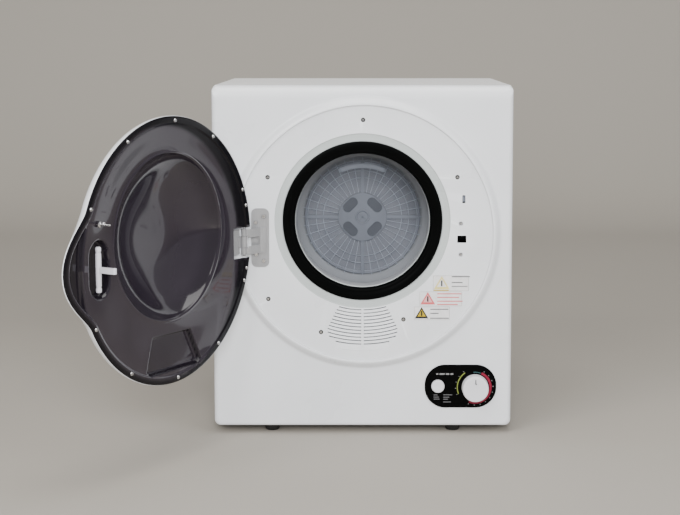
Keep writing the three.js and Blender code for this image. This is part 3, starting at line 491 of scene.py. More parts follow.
MATERIALS = {}


def paint(piece, name):
    """Gives a piece one finish."""
    piece.data.materials.clear()
    piece.data.materials.append(MATERIALS[name])
    return piece


# ------------------------------------------------------------------ mesh helpers

def settle(bm, sharp_degrees):
    """Merges doubles, turns faces outward, and marks the edges that stay crisp."""
    bmesh.ops.remove_doubles(bm, verts=bm.verts, dist=1e-6)
    bmesh.ops.recalc_face_normals(bm, faces=bm.faces)
    limit = math.radians(sharp_degrees)
    for face in bm.faces:
        face.smooth = True
    for edge in bm.edges:
        if len(edge.link_faces) == 2 and edge.calc_face_angle(0) > limit:
            edge.smooth = False


def piece_from(name, vertices, faces, sharp=35):
    """An object with a settled mesh of its own."""
    mesh = bpy.data.meshes.new(name)
    mesh.from_pydata([tuple(v) for v in vertices], [], faces)
    bm = bmesh.new()
    bm.from_mesh(mesh)
    settle(bm, sharp)
    bm.to_mesh(mesh)
    bm.free()
    piece = bpy.data.objects.new(name, mesh)
    bpy.context.scene.collection.objects.link(piece)
    return piece


def lofted(rings, closed=True, poles=(False, False)):
    """Vertices and faces of rings of equal length, joined one to the next."""
    count = len(rings[0])
    vertices = [v for ring in rings for v in ring]
    faces = []
    spans = len(rings) if closed else len(rings) - 1
    for k in range(spans):
        a, b = k * count, ((k + 1) % len(rings)) * count
        for i in range(count):
            j = (i + 1) % count
            faces.append((a + i, a + j, b + j, b + i))
    for pole, ring in zip(poles, (rings[0], rings[-1])):
        if pole:
            centre = sum((Vector(v) for v in ring), Vector()) / count
            start = 0 if ring is rings[0] else (len(rings) - 1) * count
            vertices.append(centre)
            tip = len(vertices) - 1
            faces += [(start + i, start + (i + 1) % count, tip) for i in range(count)]
    return vertices, faces


def turned(name, x, z, profile, segments=128, sharp=35):
    """A profile of (radius, y) points in millimetres turned about a line along Y."""
    rings = []
    caps = [profile[0][0] == 0, profile[-1][0] == 0]
    points = [p for p in profile if p[0] > 0]
    for radius, y in points:
        rings.append([Vector((x + radius * MM * math.cos(TAU * i / segments), y * MM,
                              z + radius * MM * math.sin(TAU * i / segments)))
                      for i in range(segments)])
    vertices, faces = lofted(rings, closed=not any(caps))
    for end, capped in ((0, caps[0]), (-1, caps[1])):
        if capped:
            y = (profile[0] if end == 0 else profile[-1])[1] * MM
            vertices.append(Vector((x, y, z)))
            tip = len(vertices) - 1
            start = 0 if end == 0 else (len(rings) - 1) * segments
            faces += [(start + i, start + (i + 1) % segments, tip) for i in range(segments)]
    return piece_from(name, vertices, faces, sharp)


def prism(name, outline, y0, y1, sharp=35, bevel=0.0):
    """An outline of (x, z) points in metres extruded along Y, its edges softened by bevel."""
    count = len(outline)
    vertices = [Vector((px, y, pz)) for y in (y0, y1) for px, pz in outline]
    faces = [tuple(range(count)), tuple(range(2 * count - 1, count - 1, -1))]
    faces += [(i, (i + 1) % count, count + (i + 1) % count, count + i) for i in range(count)]
    piece = piece_from(name, vertices, faces, sharp)
    return soften(piece, bevel, sharp) if bevel else piece


def soften(piece, width, sharp=35, segments=3):
    """Bevels the crisp edges of a piece and settles it again."""
    bm = bmesh.new()
    bm.from_mesh(piece.data)
    edges = [e for e in bm.edges if not e.smooth]
    bmesh.ops.bevel(bm, geom=edges, offset=width, segments=segments, profile=0.6,
                    affect="EDGES", clamp_overlap=True)
    settle(bm, sharp)
    bm.to_mesh(piece.data)
    bm.free()
    return piece


def rounded_outline(x0, x1, z0, z1, radius, steps=10):
    """The outline of a round-cornered rectangle, anticlockwise from its upper right corner."""
    points = []
    corners = ((x1 - radius, z1 - radius), (x0 + radius, z1 - radius),
               (x0 + radius, z0 + radius), (x1 - radius, z0 + radius))
    for quarter, (ox, oz) in enumerate(corners):
        for k in range(steps + 1):
            angle = (quarter + k / steps) * math.pi / 2
            points.append((ox + radius * math.cos(angle), oz + radius * math.sin(angle)))
    return points


def plaque(name, x, z, radius, y0, y1, steps=3, sharp=35, bevel=0.0):
    """A round-cornered plate; x, z and radius are in millimetres, the rest in metres."""
    outline = rounded_outline(x[0] * MM, x[1] * MM, z[0] * MM, z[1] * MM, radius * MM, steps)
    return prism(name, outline, y0, y1, sharp, bevel)


def folded_ends(count, rings):
    """End faces of a folded strip, drawn down one side and back up the other."""
    return [(start + i, start + i + 1, start + count - 2 - i, start + count - 1 - i)
            for start in (0, (rings - 1) * count) for i in range(count // 2 - 1)]


def merged(name, pieces):
    """One piece holding the meshes of several, each part keeping its material."""
    mesh = bpy.data.meshes.new(name)
    bm = bmesh.new()
    slots = []
    for piece in pieces:
        start = len(bm.faces)
        bm.from_mesh(piece.data)
        bm.faces.ensure_lookup_table()
        own = list(piece.data.materials)
        for material in own:
            if material not in slots:
                slots.append(material)
        for face in bm.faces[start:]:
            if own:
                face.material_index = slots.index(own[face.material_index])
        bpy.data.objects.remove(piece)
    bm.to_mesh(mesh)
    bm.free()
    for material in slots:
        mesh.materials.append(material)
    piece = bpy.data.objects.new(name, mesh)
    bpy.context.scene.collection.objects.link(piece)
    return piece


def applied(piece):
    """The piece with its modifiers turned into plain mesh."""
    bpy.context.view_layer.update()
    evaluated = piece.evaluated_get(bpy.context.evaluated_depsgraph_get())
    mesh = bpy.data.meshes.new_from_object(evaluated)
    piece.modifiers.clear()
    piece.data = mesh
    return piece


def cut_by(piece, tool):
    """Cuts a tool out of a piece and removes the tool."""
    modifier = piece.modifiers.new("carve", "BOOLEAN")
    modifier.operation = "DIFFERENCE"
    modifier.solver = "EXACT"
    modifier.object = tool
    applied(piece)
    bpy.data.objects.remove(tool)
    return piece


def carved(piece, cutters, sharp=30):
    """Cuts every cutter out of the piece and shades what is left."""
    cut_by(piece, merged("cutters", cutters))
    bm = bmesh.new()
    bm.from_mesh(piece.data)
    bmesh.ops.remove_doubles(bm, verts=bm.verts, dist=1e-6)
    limit = math.radians(sharp)
    for face in bm.faces:
        face.smooth = True
    for edge in bm.edges:
        edge.smooth = not (len(edge.link_faces) == 2 and edge.calc_face_angle(0) > limit)
    bm.to_mesh(piece.data)
    bm.free()
    weigh = piece.modifiers.new("weigh", "WEIGHTED_NORMAL")
    weigh.keep_sharp = True
    return applied(piece)


def moved(piece, matrix):
    """Moves the mesh itself, so that the object stays at the origin."""
    piece.data.transform(matrix)
    return piece


def swung():
    """Takes the door from its shut place, in which it is drawn, to where it stands open."""
    return (Matrix.Translation(HINGE) @ Matrix.Rotation(-OPEN_ANGLE, 4, "Z")
            @ Matrix.Translation(-HINGE))


def placed(piece, body, slot, *nodes):
    """Fixes a finished piece to its body and hides the plain solids it stands for."""
    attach(piece, body)
    if nodes:
        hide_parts(*nodes)
    return piece


# ------------------------------------------------------------------ geometry nodes

def geometry_tree(name, inputs):
    """An empty geometry tree with the inputs given as (name, kind, start value)."""
    tree = bpy.data.node_groups.new(name, "GeometryNodeTree")
    tree.interface.new_socket("Geometry", in_out="INPUT", socket_type="NodeSocketGeometry")
    for label, kind, value in inputs:
        socket = tree.interface.new_socket(label, in_out="INPUT", socket_type=kind)
        if value is not None:
            socket.default_value = value
    tree.interface.new_socket("Geometry", in_out="OUTPUT", socket_type="NodeSocketGeometry")
    return tree, tree.nodes.new("NodeGroupInput"), tree.nodes.new("NodeGroupOutput")


def end_tree(tree, given, result, geometry):
    """Turns instances into mesh, gives it the material and ends the tree."""
    realize = added(tree, "GeometryNodeRealizeInstances", Geometry=geometry)
    finish = added(tree, "GeometryNodeSetMaterial", Geometry=realize.outputs[0],
                   Material=given.outputs["Material"])
    tree.links.new(finish.outputs[0], result.inputs[0])


def grown(name, tree, start, values):
    """Runs a geometry tree on a starting mesh and returns the plain result."""
    piece = bpy.data.objects.new(name, start)
    bpy.context.scene.collection.objects.link(piece)
    modifier = piece.modifiers.new("grow", "NODES")
    modifier.node_group = tree
    for item in tree.interface.items_tree:
        if item.item_type == "SOCKET" and item.in_out == "INPUT" and item.name in values:
            modifier[item.identifier] = values[item.name]
    return applied(piece)


def screw_tree():
    """A cross-recessed pan head on every point; its face looks along -Y."""
    tree, given, result = geometry_tree("cross_head_screws", [
        ("Head Radius", "NodeSocketFloat", 3 * MM), ("Head Height", "NodeSocketFloat", 1.6 * MM),
        ("Material", "NodeSocketMaterial", None)])
    radius, height = given.outputs["Head Radius"], given.outputs["Head Height"]
    head = added(tree, "GeometryNodeMeshCone", Vertices=28, Side_Segments=2, Depth=height,
                 Radius_Bottom=radius, Radius_Top=math_node(tree, "MULTIPLY", radius, 0.72))
    cut = tree.nodes.new("GeometryNodeMeshBoolean")
    cut.operation = "DIFFERENCE"
    cut.solver = "EXACT"
    tree.links.new(head.outputs["Mesh"], cut.inputs["Mesh 1"])
    long_side = math_node(tree, "MULTIPLY", radius, 1.05)
    thin_side = math_node(tree, "MULTIPLY", radius, 0.26)
    lift = added(tree, "ShaderNodeCombineXYZ", Z=height)
    for first, second in ((long_side, thin_side), (thin_side, long_side)):
        size = added(tree, "ShaderNodeCombineXYZ", X=first, Y=second, Z=height)
        slot = added(tree, "GeometryNodeMeshCube", Size=size.outputs[0])
        shift = added(tree, "GeometryNodeTransform", Geometry=slot.outputs["Mesh"],
                      Translation=lift.outputs[0])
        tree.links.new(shift.outputs[0], cut.inputs["Mesh 2"])
    turn = added(tree, "GeometryNodeTransform", Geometry=cut.outputs["Mesh"],
                 Rotation=(math.pi / 2, 0, 0))
    scatter = added(tree, "GeometryNodeInstanceOnPoints", Points=given.outputs["Geometry"],
                    Instance=turn.outputs[0])
    end_tree(tree, given, result, scatter.outputs[0])
    return tree


def rib_tree():
    """Flat ribs spread evenly round an axis along Y."""
    tree, given, result = geometry_tree("radial_ribs", [
        ("Count", "NodeSocketInt", 12), ("Inner", "NodeSocketFloat", 40 * MM),
        ("Outer", "NodeSocketFloat", 100 * MM), ("Width", "NodeSocketFloat", 1 * MM),
        ("Depth", "NodeSocketFloat", 3 * MM), ("Material", "NodeSocketMaterial", None)])
    inner, outer = given.outputs["Inner"], given.outputs["Outer"]
    length = math_node(tree, "SUBTRACT", outer, inner)
    reach = math_node(tree, "MULTIPLY", math_node(tree, "ADD", outer, inner), 0.5)
    size = added(tree, "ShaderNodeCombineXYZ", X=length, Y=given.outputs["Depth"],
                 Z=given.outputs["Width"])
    bar = added(tree, "GeometryNodeMeshCube", Size=size.outputs[0])
    away = added(tree, "ShaderNodeCombineXYZ", X=reach)
    out = added(tree, "GeometryNodeTransform", Geometry=bar.outputs["Mesh"],
                Translation=away.outputs[0])
    points = added(tree, "GeometryNodePoints", Count=given.outputs["Count"])
    index = tree.nodes.new("GeometryNodeInputIndex")
    step = math_node(tree, "DIVIDE", TAU, given.outputs["Count"])
    spin = added(tree, "ShaderNodeCombineXYZ",
                 Y=math_node(tree, "MULTIPLY", index.outputs[0], step))
    scatter = added(tree, "GeometryNodeInstanceOnPoints", Points=points.outputs[0],
                    Instance=out.outputs[0], Rotation=spin.outputs[0])
    end_tree(tree, given, result, scatter.outputs[0])
    return tree


TREES = {}


def tree_named(name):
    """A geometry tree, made the first time it is asked for."""
    makers = {"screws": screw_tree, "ribs": rib_tree}
    if name not in TREES:
        TREES[name] = makers[name]()
    return TREES[name]


def screws(name, places, radius, height):
    """Screw heads with their middles at (x, y, z) in metres; their sizes are in millimetres."""
    start = bpy.data.meshes.new(name)
    start.from_pydata(places, [], [])
    return grown(name, tree_named("screws"), start, {
        "Head Radius": radius * MM, "Head Height": height * MM, "Material": MATERIALS["screw_steel"]})


def rear_screws(name, places, radius, height):
    """Screw heads whose faces look along +Y."""
    heads = [(-x, -y, z) for x, y, z in places]
    return moved(screws(name, heads, radius, height), Matrix.Rotation(math.pi, 4, "Z"))


def ribs(name, x, y, z, count, inner, outer, width, depth, material):
    """Evenly spread ribs about (x, z) at depth y; their sizes are in millimetres."""
    piece = grown(name, tree_named("ribs"), bpy.data.meshes.new(name), {
        "Count": count, "Inner": inner * MM, "Outer": outer * MM, "Width": width * MM,
        "Depth": depth * MM, "Material": MATERIALS[material]})
    return moved(piece, Matrix.Translation((x, y * MM, z)))


# ------------------------------------------------------------------ front moulding

def outline_pairs(step=5.5 * MM):
    """Points on the casing's outline, on the flat face inside it, and the roll between them."""
    top, side, foot = sizes().top_roll, sizes().side_roll, 5 * MM
    outer_radius, inner_radius = 10 * MM, 7 * MM
    corners = ((1, 1, side, top), (-1, 1, top, side), (-1, -1, side, foot), (1, -1, foot, side))
    corner_steps = 9

    def corner_centre(x_sign, z_sign, radius, inset, top_inset, foot_inset):
        high, low = TOP_Z - top_inset - radius, BOTTOM_Z + foot_inset + radius
        return Vector((x_sign * (HALF_WIDTH - inset - radius), high if z_sign > 0 else low))

    arcs = []
    for quarter, (x_sign, z_sign, roll_from, roll_to) in enumerate(corners):
        outer_centre = corner_centre(x_sign, z_sign, outer_radius, 0, 0, 0)
        inner_centre = corner_centre(x_sign, z_sign, inner_radius, side, top, foot)
        arc = []
        for k in range(corner_steps + 1):
            share = k / corner_steps
            angle = (quarter + share) * math.pi / 2
            direction = Vector((math.cos(angle), math.sin(angle)))
            arc.append((outer_centre + direction * outer_radius,
                        inner_centre + direction * inner_radius,
                        roll_from + (roll_to - roll_from) * share))
        arcs.append(arc)
    points = []
    for arc, following in zip(arcs, arcs[1:] + arcs[:1]):
        points += arc
        outer, inner, roll = arc[-1]
        next_outer, next_inner, _ = following[0]
        count = max(2, int((next_outer - outer).length / step))
        points += [(outer.lerp(next_outer, k / count), inner.lerp(next_inner, k / count), roll)
                   for k in range(1, count)]
    return zip(*points)


def control_holes(knob_radius, button_radius, rear, segments):
    """Cutters for the knob's spindle and the button, from well in front back to rear."""
    return [turned("hole", at.x, at.z, [(0, -220), (radius, -220), (radius, rear), (0, rear)],
                   segments) for at, radius in ((KNOB_AT, knob_radius), (BUTTON_AT, button_radius))]


def louvre_cutters():
    """Rows of slots on arcs about the mouth, parted by a middle rib."""
    half_widths = (38.5, 42, 45, 47.5, 50, 52.5, 55, 57, 57, 55, 44)
    cutters = []
    for row, half in enumerate(half_widths):
        radius = 146 * MM + row * sizes().louvre_pitch
        for side in (-1, 1):
            near, far = math.asin(2 * MM / radius), math.asin(half * MM / radius)
            angles = [near + (far - near) * k / 14 for k in range(15)]
            edge = []
            for r, order in ((radius + 0.9 * MM, angles), (radius - 0.9 * MM, angles[::-1])):
                edge += [(side * r * math.sin(a), MOUTH.z - r * math.cos(a)) for a in order]
            cutters.append(prism("slot", edge, FLOOR_Y - 2 * MM, FLOOR_Y + 9 * MM))
    return cutters


PANEL_SCREWS = ((1, 518), (-154, 425), (-154, 225), (154, 425), (67, 191), (-68, 170),
                (160, 349), (160, 298))


MOUTH_PROFILE = ((130.2, 8), (130.2, 2.6), (130.8, 2.1), (136, 1.6), (141.4, 1.5), (142.8, 0.8),
                 (143.2, 0.2), (143.9, 0))
SEAT_PROFILE = ((180, 0), (207.6, 0), (208.7, -0.3), (209.2, -1.2), (209.5, -3), (210.2, -3.8),
                (211.3, -4), (212.8, -3.7), (215.6, -1.9), (218.6, 1.2), (221, 3.6), (223, 4.7),
                (225.5, 5))
INNER_SEAT_PROFILE = ((216, 8.2), (205, 4))
INNER_MOUTH_PROFILE = ((146, 4), (146, 8))


def front_rings():
    """Rings from the mouth over the seat, flat face and rolled edge, then back inside the wall."""
    outer, inner, roll = outline_pairs()
    angles = [math.atan2(p.y - SEAT_AT.z, p.x - SEAT_AT.x) for p in inner]

    def circles(centre, profile):
        return [[Vector((centre.x + radius * MM * math.cos(a), FLOOR_Y + rise * MM,
                         centre.z + radius * MM * math.sin(a))) for a in angles]
                for radius, rise in profile]

    rings = circles(MOUTH, MOUTH_PROFILE) + circles(SEAT_AT, SEAT_PROFILE)
    last = rings[-1]
    flat = [Vector((p.x, FRONT_Y, p.y)) for p in inner]
    rings += [[a.lerp(b, share) for a, b in zip(last, flat)] for share in (0.4, 0.8)]
    rings.append(flat)
    steps = 9
    for k in range(1, steps + 1):
        turn = math.pi / 2 * k / steps
        rings.append([Vector((i.x + (o.x - i.x) * math.sin(turn),
                              FRONT_Y + d * (1 - math.cos(turn)),
                              i.y + (o.y - i.y) * math.sin(turn)))
                      for o, i, d in zip(outer, inner, roll)])
    back = FRONT_Y + 27 * MM
    wall = 2.8 * MM
    mid_z, half_height = (TOP_Z + BOTTOM_Z) / 2, (TOP_Z - BOTTOM_Z) / 2
    rings.append([Vector((o.x, back, o.y)) for o in outer])
    rings.append([Vector((o.x * (1 - wall / HALF_WIDTH), back,
                          o.y - wall * (o.y - mid_z) / half_height)) for o in outer])
    for rise in (24, 3.2):
        rings.append([Vector((i.x * 0.99, FRONT_Y + rise * MM, i.y)) for i in inner])
    return rings + circles(SEAT_AT, INNER_SEAT_PROFILE) + circles(MOUTH, INNER_MOUTH_PROFILE)


def front_cutters():
    """Louvre, latch slot, switch slot, screw sinks and the holes behind knob and button."""
    cutters = louvre_cutters()
    for node, half, tall in (("latch_strike", 7.4, 6), ("door_switch_body", 2.6, 6.5)):
        at = middle(node) / MM
        cutters.append(plaque("hole", (at.x - half, at.x + half), (at.z - tall, at.z + tall), 1,
                              FLOOR_Y - 9 * MM, FLOOR_Y + 20 * MM, 4))
    floor = FLOOR_Y / MM
    for x, z in PANEL_SCREWS:
        cutters.append(turned("sink", x * MM, z * MM, [
            (0, floor - 4), (4.2, floor - 4), (4.2, floor - 0.1), (3.3, floor + 0.7),
            (3.3, floor + 3), (0, floor + 3)], 28))
    return cutters + control_holes(6, 12.5, -170, 32)


def front_moulding():
    """The one-piece front, its slots and holes cut, with painted shade on the sloping lip round the
    mouth.
    """
    panel = piece_from("front_moulding", *lofted(front_rings()), sharp=32)
    carved(panel, front_cutters(), 30)
    paint(panel, "white_plastic")
    # painted shade on the lip: its faces take the darker grey-green
    panel.data.materials.append(MATERIALS["lip_painted_shade"])
    for polygon in panel.data.polygons:
        at = polygon.center
        reach = math.hypot(at.x - MOUTH.x, at.z - MOUTH.z) / MM
        if 129 < reach < 143.4 and at.y < FLOOR_Y + 3 * MM:
            polygon.material_index = 1
    placed(panel, "cabinet", "white_plastic", "front_panel")


def front_trim():
    """Painted shade in the screw sinks round the seat, the screws, and two low ridges under the louvre.
    """
    floor = FLOOR_Y / MM
    # painted shade: near-black rings at the bottom of the screw sinks
    sink_shades = [paint(turned("sink_shade_ring", x * MM, z * MM, [
        (2.3, floor + 1), (2.3, floor + 0.5), (4, floor + 0.4), (4, floor + 1)], 32), "sink_shade")
               for x, z in PANEL_SCREWS[:6]]
    placed(merged("screw_sink_shade", sink_shades), "cabinet", "black_rubber")
    ridges = []
    for radius, half in ((213, 9), (227, 11)):
        turn = [math.radians(-90 - half + 2 * half * k / 30) for k in range(31)]
        edge = [(r * MM * math.cos(a), MOUTH.z + r * MM * math.sin(a))
                for r, order in ((radius + 0.7, turn), (radius - 0.7, turn[::-1])) for a in order]
        ridges.append(paint(prism("ridge", edge, FLOOR_Y - 0.5 * MM, FLOOR_Y + 1 * MM, 30,
                                  0.3 * MM), "white_plastic"))
    placed(merged("front_ridges", ridges), "cabinet", "white_plastic")
    heads = [(x * MM, FLOOR_Y + 1.5 * MM, z * MM) for x, z in PANEL_SCREWS]
    placed(screws("panel_screws", heads, 2.7, 2), "cabinet", "hinge_steel")


def loading_opening():
    """The rubber seal, and the ring that carries the drum's front edge."""
    y = FLOOR_Y / MM
    seal = turned("mouth_seal", MOUTH.x, MOUTH.z, [
        (129.7, y + 8), (129.7, y + 0.6), (129.0, y - 0.8), (127.2, y - 1.7), (124, y - 2),
        (120.5, y - 1.4), (118, y - 0.2), (116.5, y + 0.4), (115, y + 0.2), (113.2, y + 0.8),
        (111.4, y + 2.8), (110.3, y + 6), (110, y + 9.8), (110.2, y + 12.6), (111, y + 13),
        (112.2, y + 12.4), (116, y + 9.6), (122, y + 8.4)], 200)
    placed(paint(seal, "black_seal"), "cabinet", "black_seal", "door_seal")
    neck = turned("drum_neck", MOUTH.x, MOUTH.z, [
        (109.8, y + 19), (109.6, y + 22), (109.2, y + 36), (109.0, y + 47), (109.6, y + 51.4),
        (110.8, y + 51.8), (111.8, y + 50.5), (112.2, y + 47), (112.4, y + 19)], 200)
    lip = turned("neck_lip", MOUTH.x, MOUTH.z, [
        (110, y + 14), (109.6, y + 15), (109.4, y + 18.4), (110, y + 19), (112.4, y + 19),
        (112.4, y + 14)], 200)
    ring = turned("neck_ring", DRUM_AXIS.x, DRUM_AXIS.z, [
        (133.9, y + 14), (133.9, y + 51), (133.2, y + 52), (131.6, y + 52), (131, y + 51),
        (131, y + 17), (131, y + 14)], 200)
    web = prism("neck_web", [(DRUM_AXIS.x + 0.1335 * math.cos(a), DRUM_AXIS.z + 0.1335 * math.sin(a))
                             for a in [TAU * k / 120 for k in range(120)]],
                FLOOR_Y + 14.4 * MM, FLOOR_Y + 16.8 * MM)
    carved(web, [turned("bore", MOUTH.x, MOUTH.z, [(0, y), (111.6, y), (111.6, y + 30), (0, y + 30)],
                        120)])
    pieces = [paint(neck, "drum_rear"), paint(lip, "neck_white")]
    pieces += [paint(piece, "neck_white") for piece in (ring, web)]
    support = merged("drum_front_ring", pieces)
    placed(support, "cabinet", "white_plastic", "drum_front_support")


# ------------------------------------------------------------------ casing, feet and back

def casing_wrap():
    """One painted sheet bent over both sides and the lid, rounded along its long edges."""
    radius = 7 * MM
    wall = 1.3 * MM
    y0, y1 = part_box("side_panel_left")[0].y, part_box("side_panel_left")[1].y
    low = BOTTOM_Z
    half = HALF_WIDTH - 0.2 * MM
    top = TOP_Z - 0.2 * MM

    def section(inset):
        points = [(-half + inset, low)]
        for side, quarter in ((-1, 2), (1, 1)):
            for k in range(11):
                angle = (quarter - k / 10) * math.pi / 2
                points.append((side * (half - radius) + (radius - inset) * math.cos(angle),
                               top - radius + (radius - inset) * math.sin(angle)))
        points.append((half - inset, low))
        return points

    loop = section(0) + section(wall)[::-1]
    rings = [[Vector((x, y, z)) for x, z in loop] for y in (y0, y0 + 1.2 * MM, y1 - 60 * MM, y1)]
    vertices, faces = lofted(rings, closed=False)
    faces += folded_ends(len(loop), len(rings))
    wrap = soften(piece_from("casing_wrap", vertices, faces, 30), 0.4 * MM, 30, 2)
    placed(paint(wrap, "white_paint"), "cabinet", "white_paint", "side_panel_left",
           "side_panel_right", "top_panel")


def feet():
    """Four rubber feet, flared towards the base pan."""
    for node in ("foot_front_left", "foot_front_right", "foot_rear_left", "foot_rear_right"):
        low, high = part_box(node)
        at = (low + high) / 2
        height = (high.z - low.z) / MM
        profile = [(0, 0), (8.2, 0), (9.6, 0.3), (10.8, 1.2), (11.6, 2.6), (13.2, height - 3),
                   (14.3, height - 1.2), (14.5, height - 0.3), (14.5, height), (0, height)]
        foot = turned(node + "_rubber", 0, 0, profile, 64)
        turn = Matrix.Translation((at.x, at.y, low.z)) @ Matrix.Rotation(math.pi / 2, 4, "X")
        placed(paint(moved(foot, turn), "black_rubber"), "cabinet", "black_rubber", node)


def back_fittings():
    """Vent collar, cord gland and the screws round the back panel."""
    at = middle("exhaust_collar")
    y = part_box("back_panel")[1].y / MM
    collar = turned("vent_collar", at.x, at.z, [
        (46, y - 49), (46, y + 14.6), (46.8, y + 15.8), (47.8, y + 15.8), (48, y + 14.4),
        (48, y + 11), (48.8, y + 10.2), (48.8, y + 8.8), (48, y + 8), (48, y + 3.4),
        (49.4, y + 2.4), (56.8, y + 2.4), (58, y + 1.6), (58, y + 0.4), (48.2, y + 0.4),
        (48.2, y - 49)], 128)
    placed(paint(collar, "white_plastic"), "cabinet", "white_plastic", "exhaust_collar")
    gland_at = middle("cord_gland")
    gland = turned("power_gland", gland_at.x, gland_at.z, [
        (4, y - 5.7), (8.7, y - 5.7), (8.7, y + 0.4), (11.8, y + 0.4), (12, y + 1.4),
        (11.4, y + 2.8), (9, y + 3.4), (7.6, y + 5), (7, y + 7.4), (6, y + 8), (4.6, y + 7.8),
        (4, y + 7)], 48)
    placed(paint(gland, "black_rubber"), "cabinet", "black_rubber", "cord_gland")
    low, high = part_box("back_panel")
    places = []
    inset = 9 * MM
    for k in range(5):
        z = low.z + inset + (high.z - low.z - 2 * inset) * k / 4
        places += [(low.x + inset, z), (high.x - inset, z)]
    for k in range(1, 4):
        x = low.x + inset + (high.x - low.x - 2 * inset) * k / 4
        places += [(x, low.z + inset), (x, high.z - inset)]
    heads = [(x, high.y + 0.7 * MM, z) for x, z in places]
    placed(rear_screws("back_screws", heads, 3.6, 1.6), "cabinet", "hinge_steel")


# ------------------------------------------------------------------ door, drawn shut and then swung open

GRIP_CENTRE = math.radians(-2.5)
GRIP_HALF = math.radians(25)


def grip_share(angle):
    """How much of the grip's bulge the rim has at an angle about the door's centre."""
    off = abs((angle - GRIP_CENTRE + math.pi) % TAU - math.pi)
    if off >= GRIP_HALF:
        return 0.0
    return math.cos(off / GRIP_HALF * math.pi / 2) ** 1.6


def rim_point(angle, inset, y, share=1.0):
    """A point on the door's rim, set in by inset and with a share of the grip's bulge."""
    radius = sizes().door_radius - inset * MM + grip_share(angle) * sizes().grip_reach * share
    return Vector((SEAT_AT.x + radius * math.cos(angle), y * MM, SEAT_AT.z + radius * math.sin(angle)))


def hinge_notch(reach, y0, y1):
    """A block across the hinge's side of the rim, reaching inwards from the pin's line."""
    x = HINGE.x / MM
    return plaque("notch", (x - reach, x + 33), (298, 347), 2, y0 * MM, y1 * MM, 4)


def door_frame():
    """The white ring of the door, with the hinge's notch and pocket cut from it."""
    y = RIM_Y / MM
    profile = [
        (1.2, y - 2.6, 1), (0.3, y - 2.4, 1), (0, y - 2.9, 1), (0, y - 3.6, 1), (0.1, y - 5, 0.93),
        (0.5, y - 8, 0.8), (2.2, y - 12, 0.62), (5, y - 15.6, 0.47), (9, y - 18.8, 0.34),
        (14, y - 21.4, 0.25), (20, y - 23.8, 0.17), (28, y - 26.8, 0.09), (36, y - 30, 0.03),
        (42, y - 32.6, 0), (44, y - 33.4, 0), (44.6, y - 33.2, 0), (44.7, y - 32.4, 0),
        (44.7, y - 30, 0), (40, y - 29.4, 0), (30, y - 25, 0.08), (21, y - 21, 0.18),
        (13, y - 18, 0.3), (8, y - 14.6, 0.44), (4.4, y - 10, 0.66), (3, y - 6, 0.86),
        (2.6, y - 3.6, 0.98), (2.3, y - 2.6, 1)]
    angles = [TAU * k / 300 for k in range(300)]
    rings = [[rim_point(a, inset, py, share) for a in angles] for inset, py, share in profile]
    ring = piece_from("door_ring", *lofted(rings), sharp=40)
    carved(ring, [hinge_notch(20, y - 6.6, y + 3)], 34)
    carved(ring, [hinge_notch(6.5, y - 14.4, y - 6)], 34)
    moved(paint(ring, "white_plastic"), swung())
    placed(ring, "door", "white_plastic", "door_frame")


def door_window():
    """The domed outer window."""
    edge = RIM_Y / MM - 30
    profile = [(0, edge - 38)]
    profile += [(r, edge - 38 + 36 * (r / 158) ** 2.35) for r in range(12, 156, 9)]
    profile += [(156.6, edge - 2.7), (157.9, edge - 1.8), (157.9, edge - 0.2), (155, edge - 0.2)]
    profile += [(r, edge - 34.8 + 34.2 * (r / 158) ** 2.35) for r in range(150, 0, -10)]
    profile.append((0, edge - 34.8))
    dome = turned("door_window_dome", SEAT_AT.x, SEAT_AT.z, profile, 200, 40)
    moved(paint(dome, "window"), swung())
    placed(dome, "door", "smoke_plastic", "door_window")


def smooth(edge0, edge1, value):
    """Rises from 0 to 1 between two edges, with level ends."""
    share = min(1.0, max(0.0, (value - edge0) / (edge1 - edge0)))
    return share * share * (3 - 2 * share)


def stadium_distance(x, z, cx, cz, half_width, half_height):
    """Distance outside a stadium that stands upright, negative inside; in millimetres."""
    reach = max(0.0, abs(z - cz) - (half_height - half_width))
    return math.hypot(x - cx, reach) - half_width


def trapezoid_distance(x, z):
    """Distance outside the air pocket's outline, negative inside; in millimetres."""
    slant = math.hypot(1, 0.42)
    side = (abs(x) - 45 - (202 - z) * 0.42) / slant
    lower_side = (abs(x) - 66 + (158 - z) * 1.1) / math.hypot(1, 1.1)
    return max(side, lower_side, z - 204, 150 - z)


def grip_distance(x, z, angle, radius):
    """Distance outside the crescent finger well, negative inside; in millimetres."""
    rim = (sizes().door_radius + grip_share(angle) * sizes().grip_reach) / MM
    return max(radius - (rim - 14), 196.5 - (x + 0.0016 * (z - 320) ** 2), abs(z - 320) - 66)


def liner_angles():
    """Directions about the door's centre, close together where the wells are."""
    angles = []
    angle = -math.pi
    while angle < math.pi - 1e-6:
        angles.append(angle)
        near_latch = abs(angle) < math.radians(25)
        near_pocket = abs(angle + math.pi / 2) < math.radians(25)
        angle += math.radians(0.55 if near_latch or near_pocket else 1.8)
    return angles


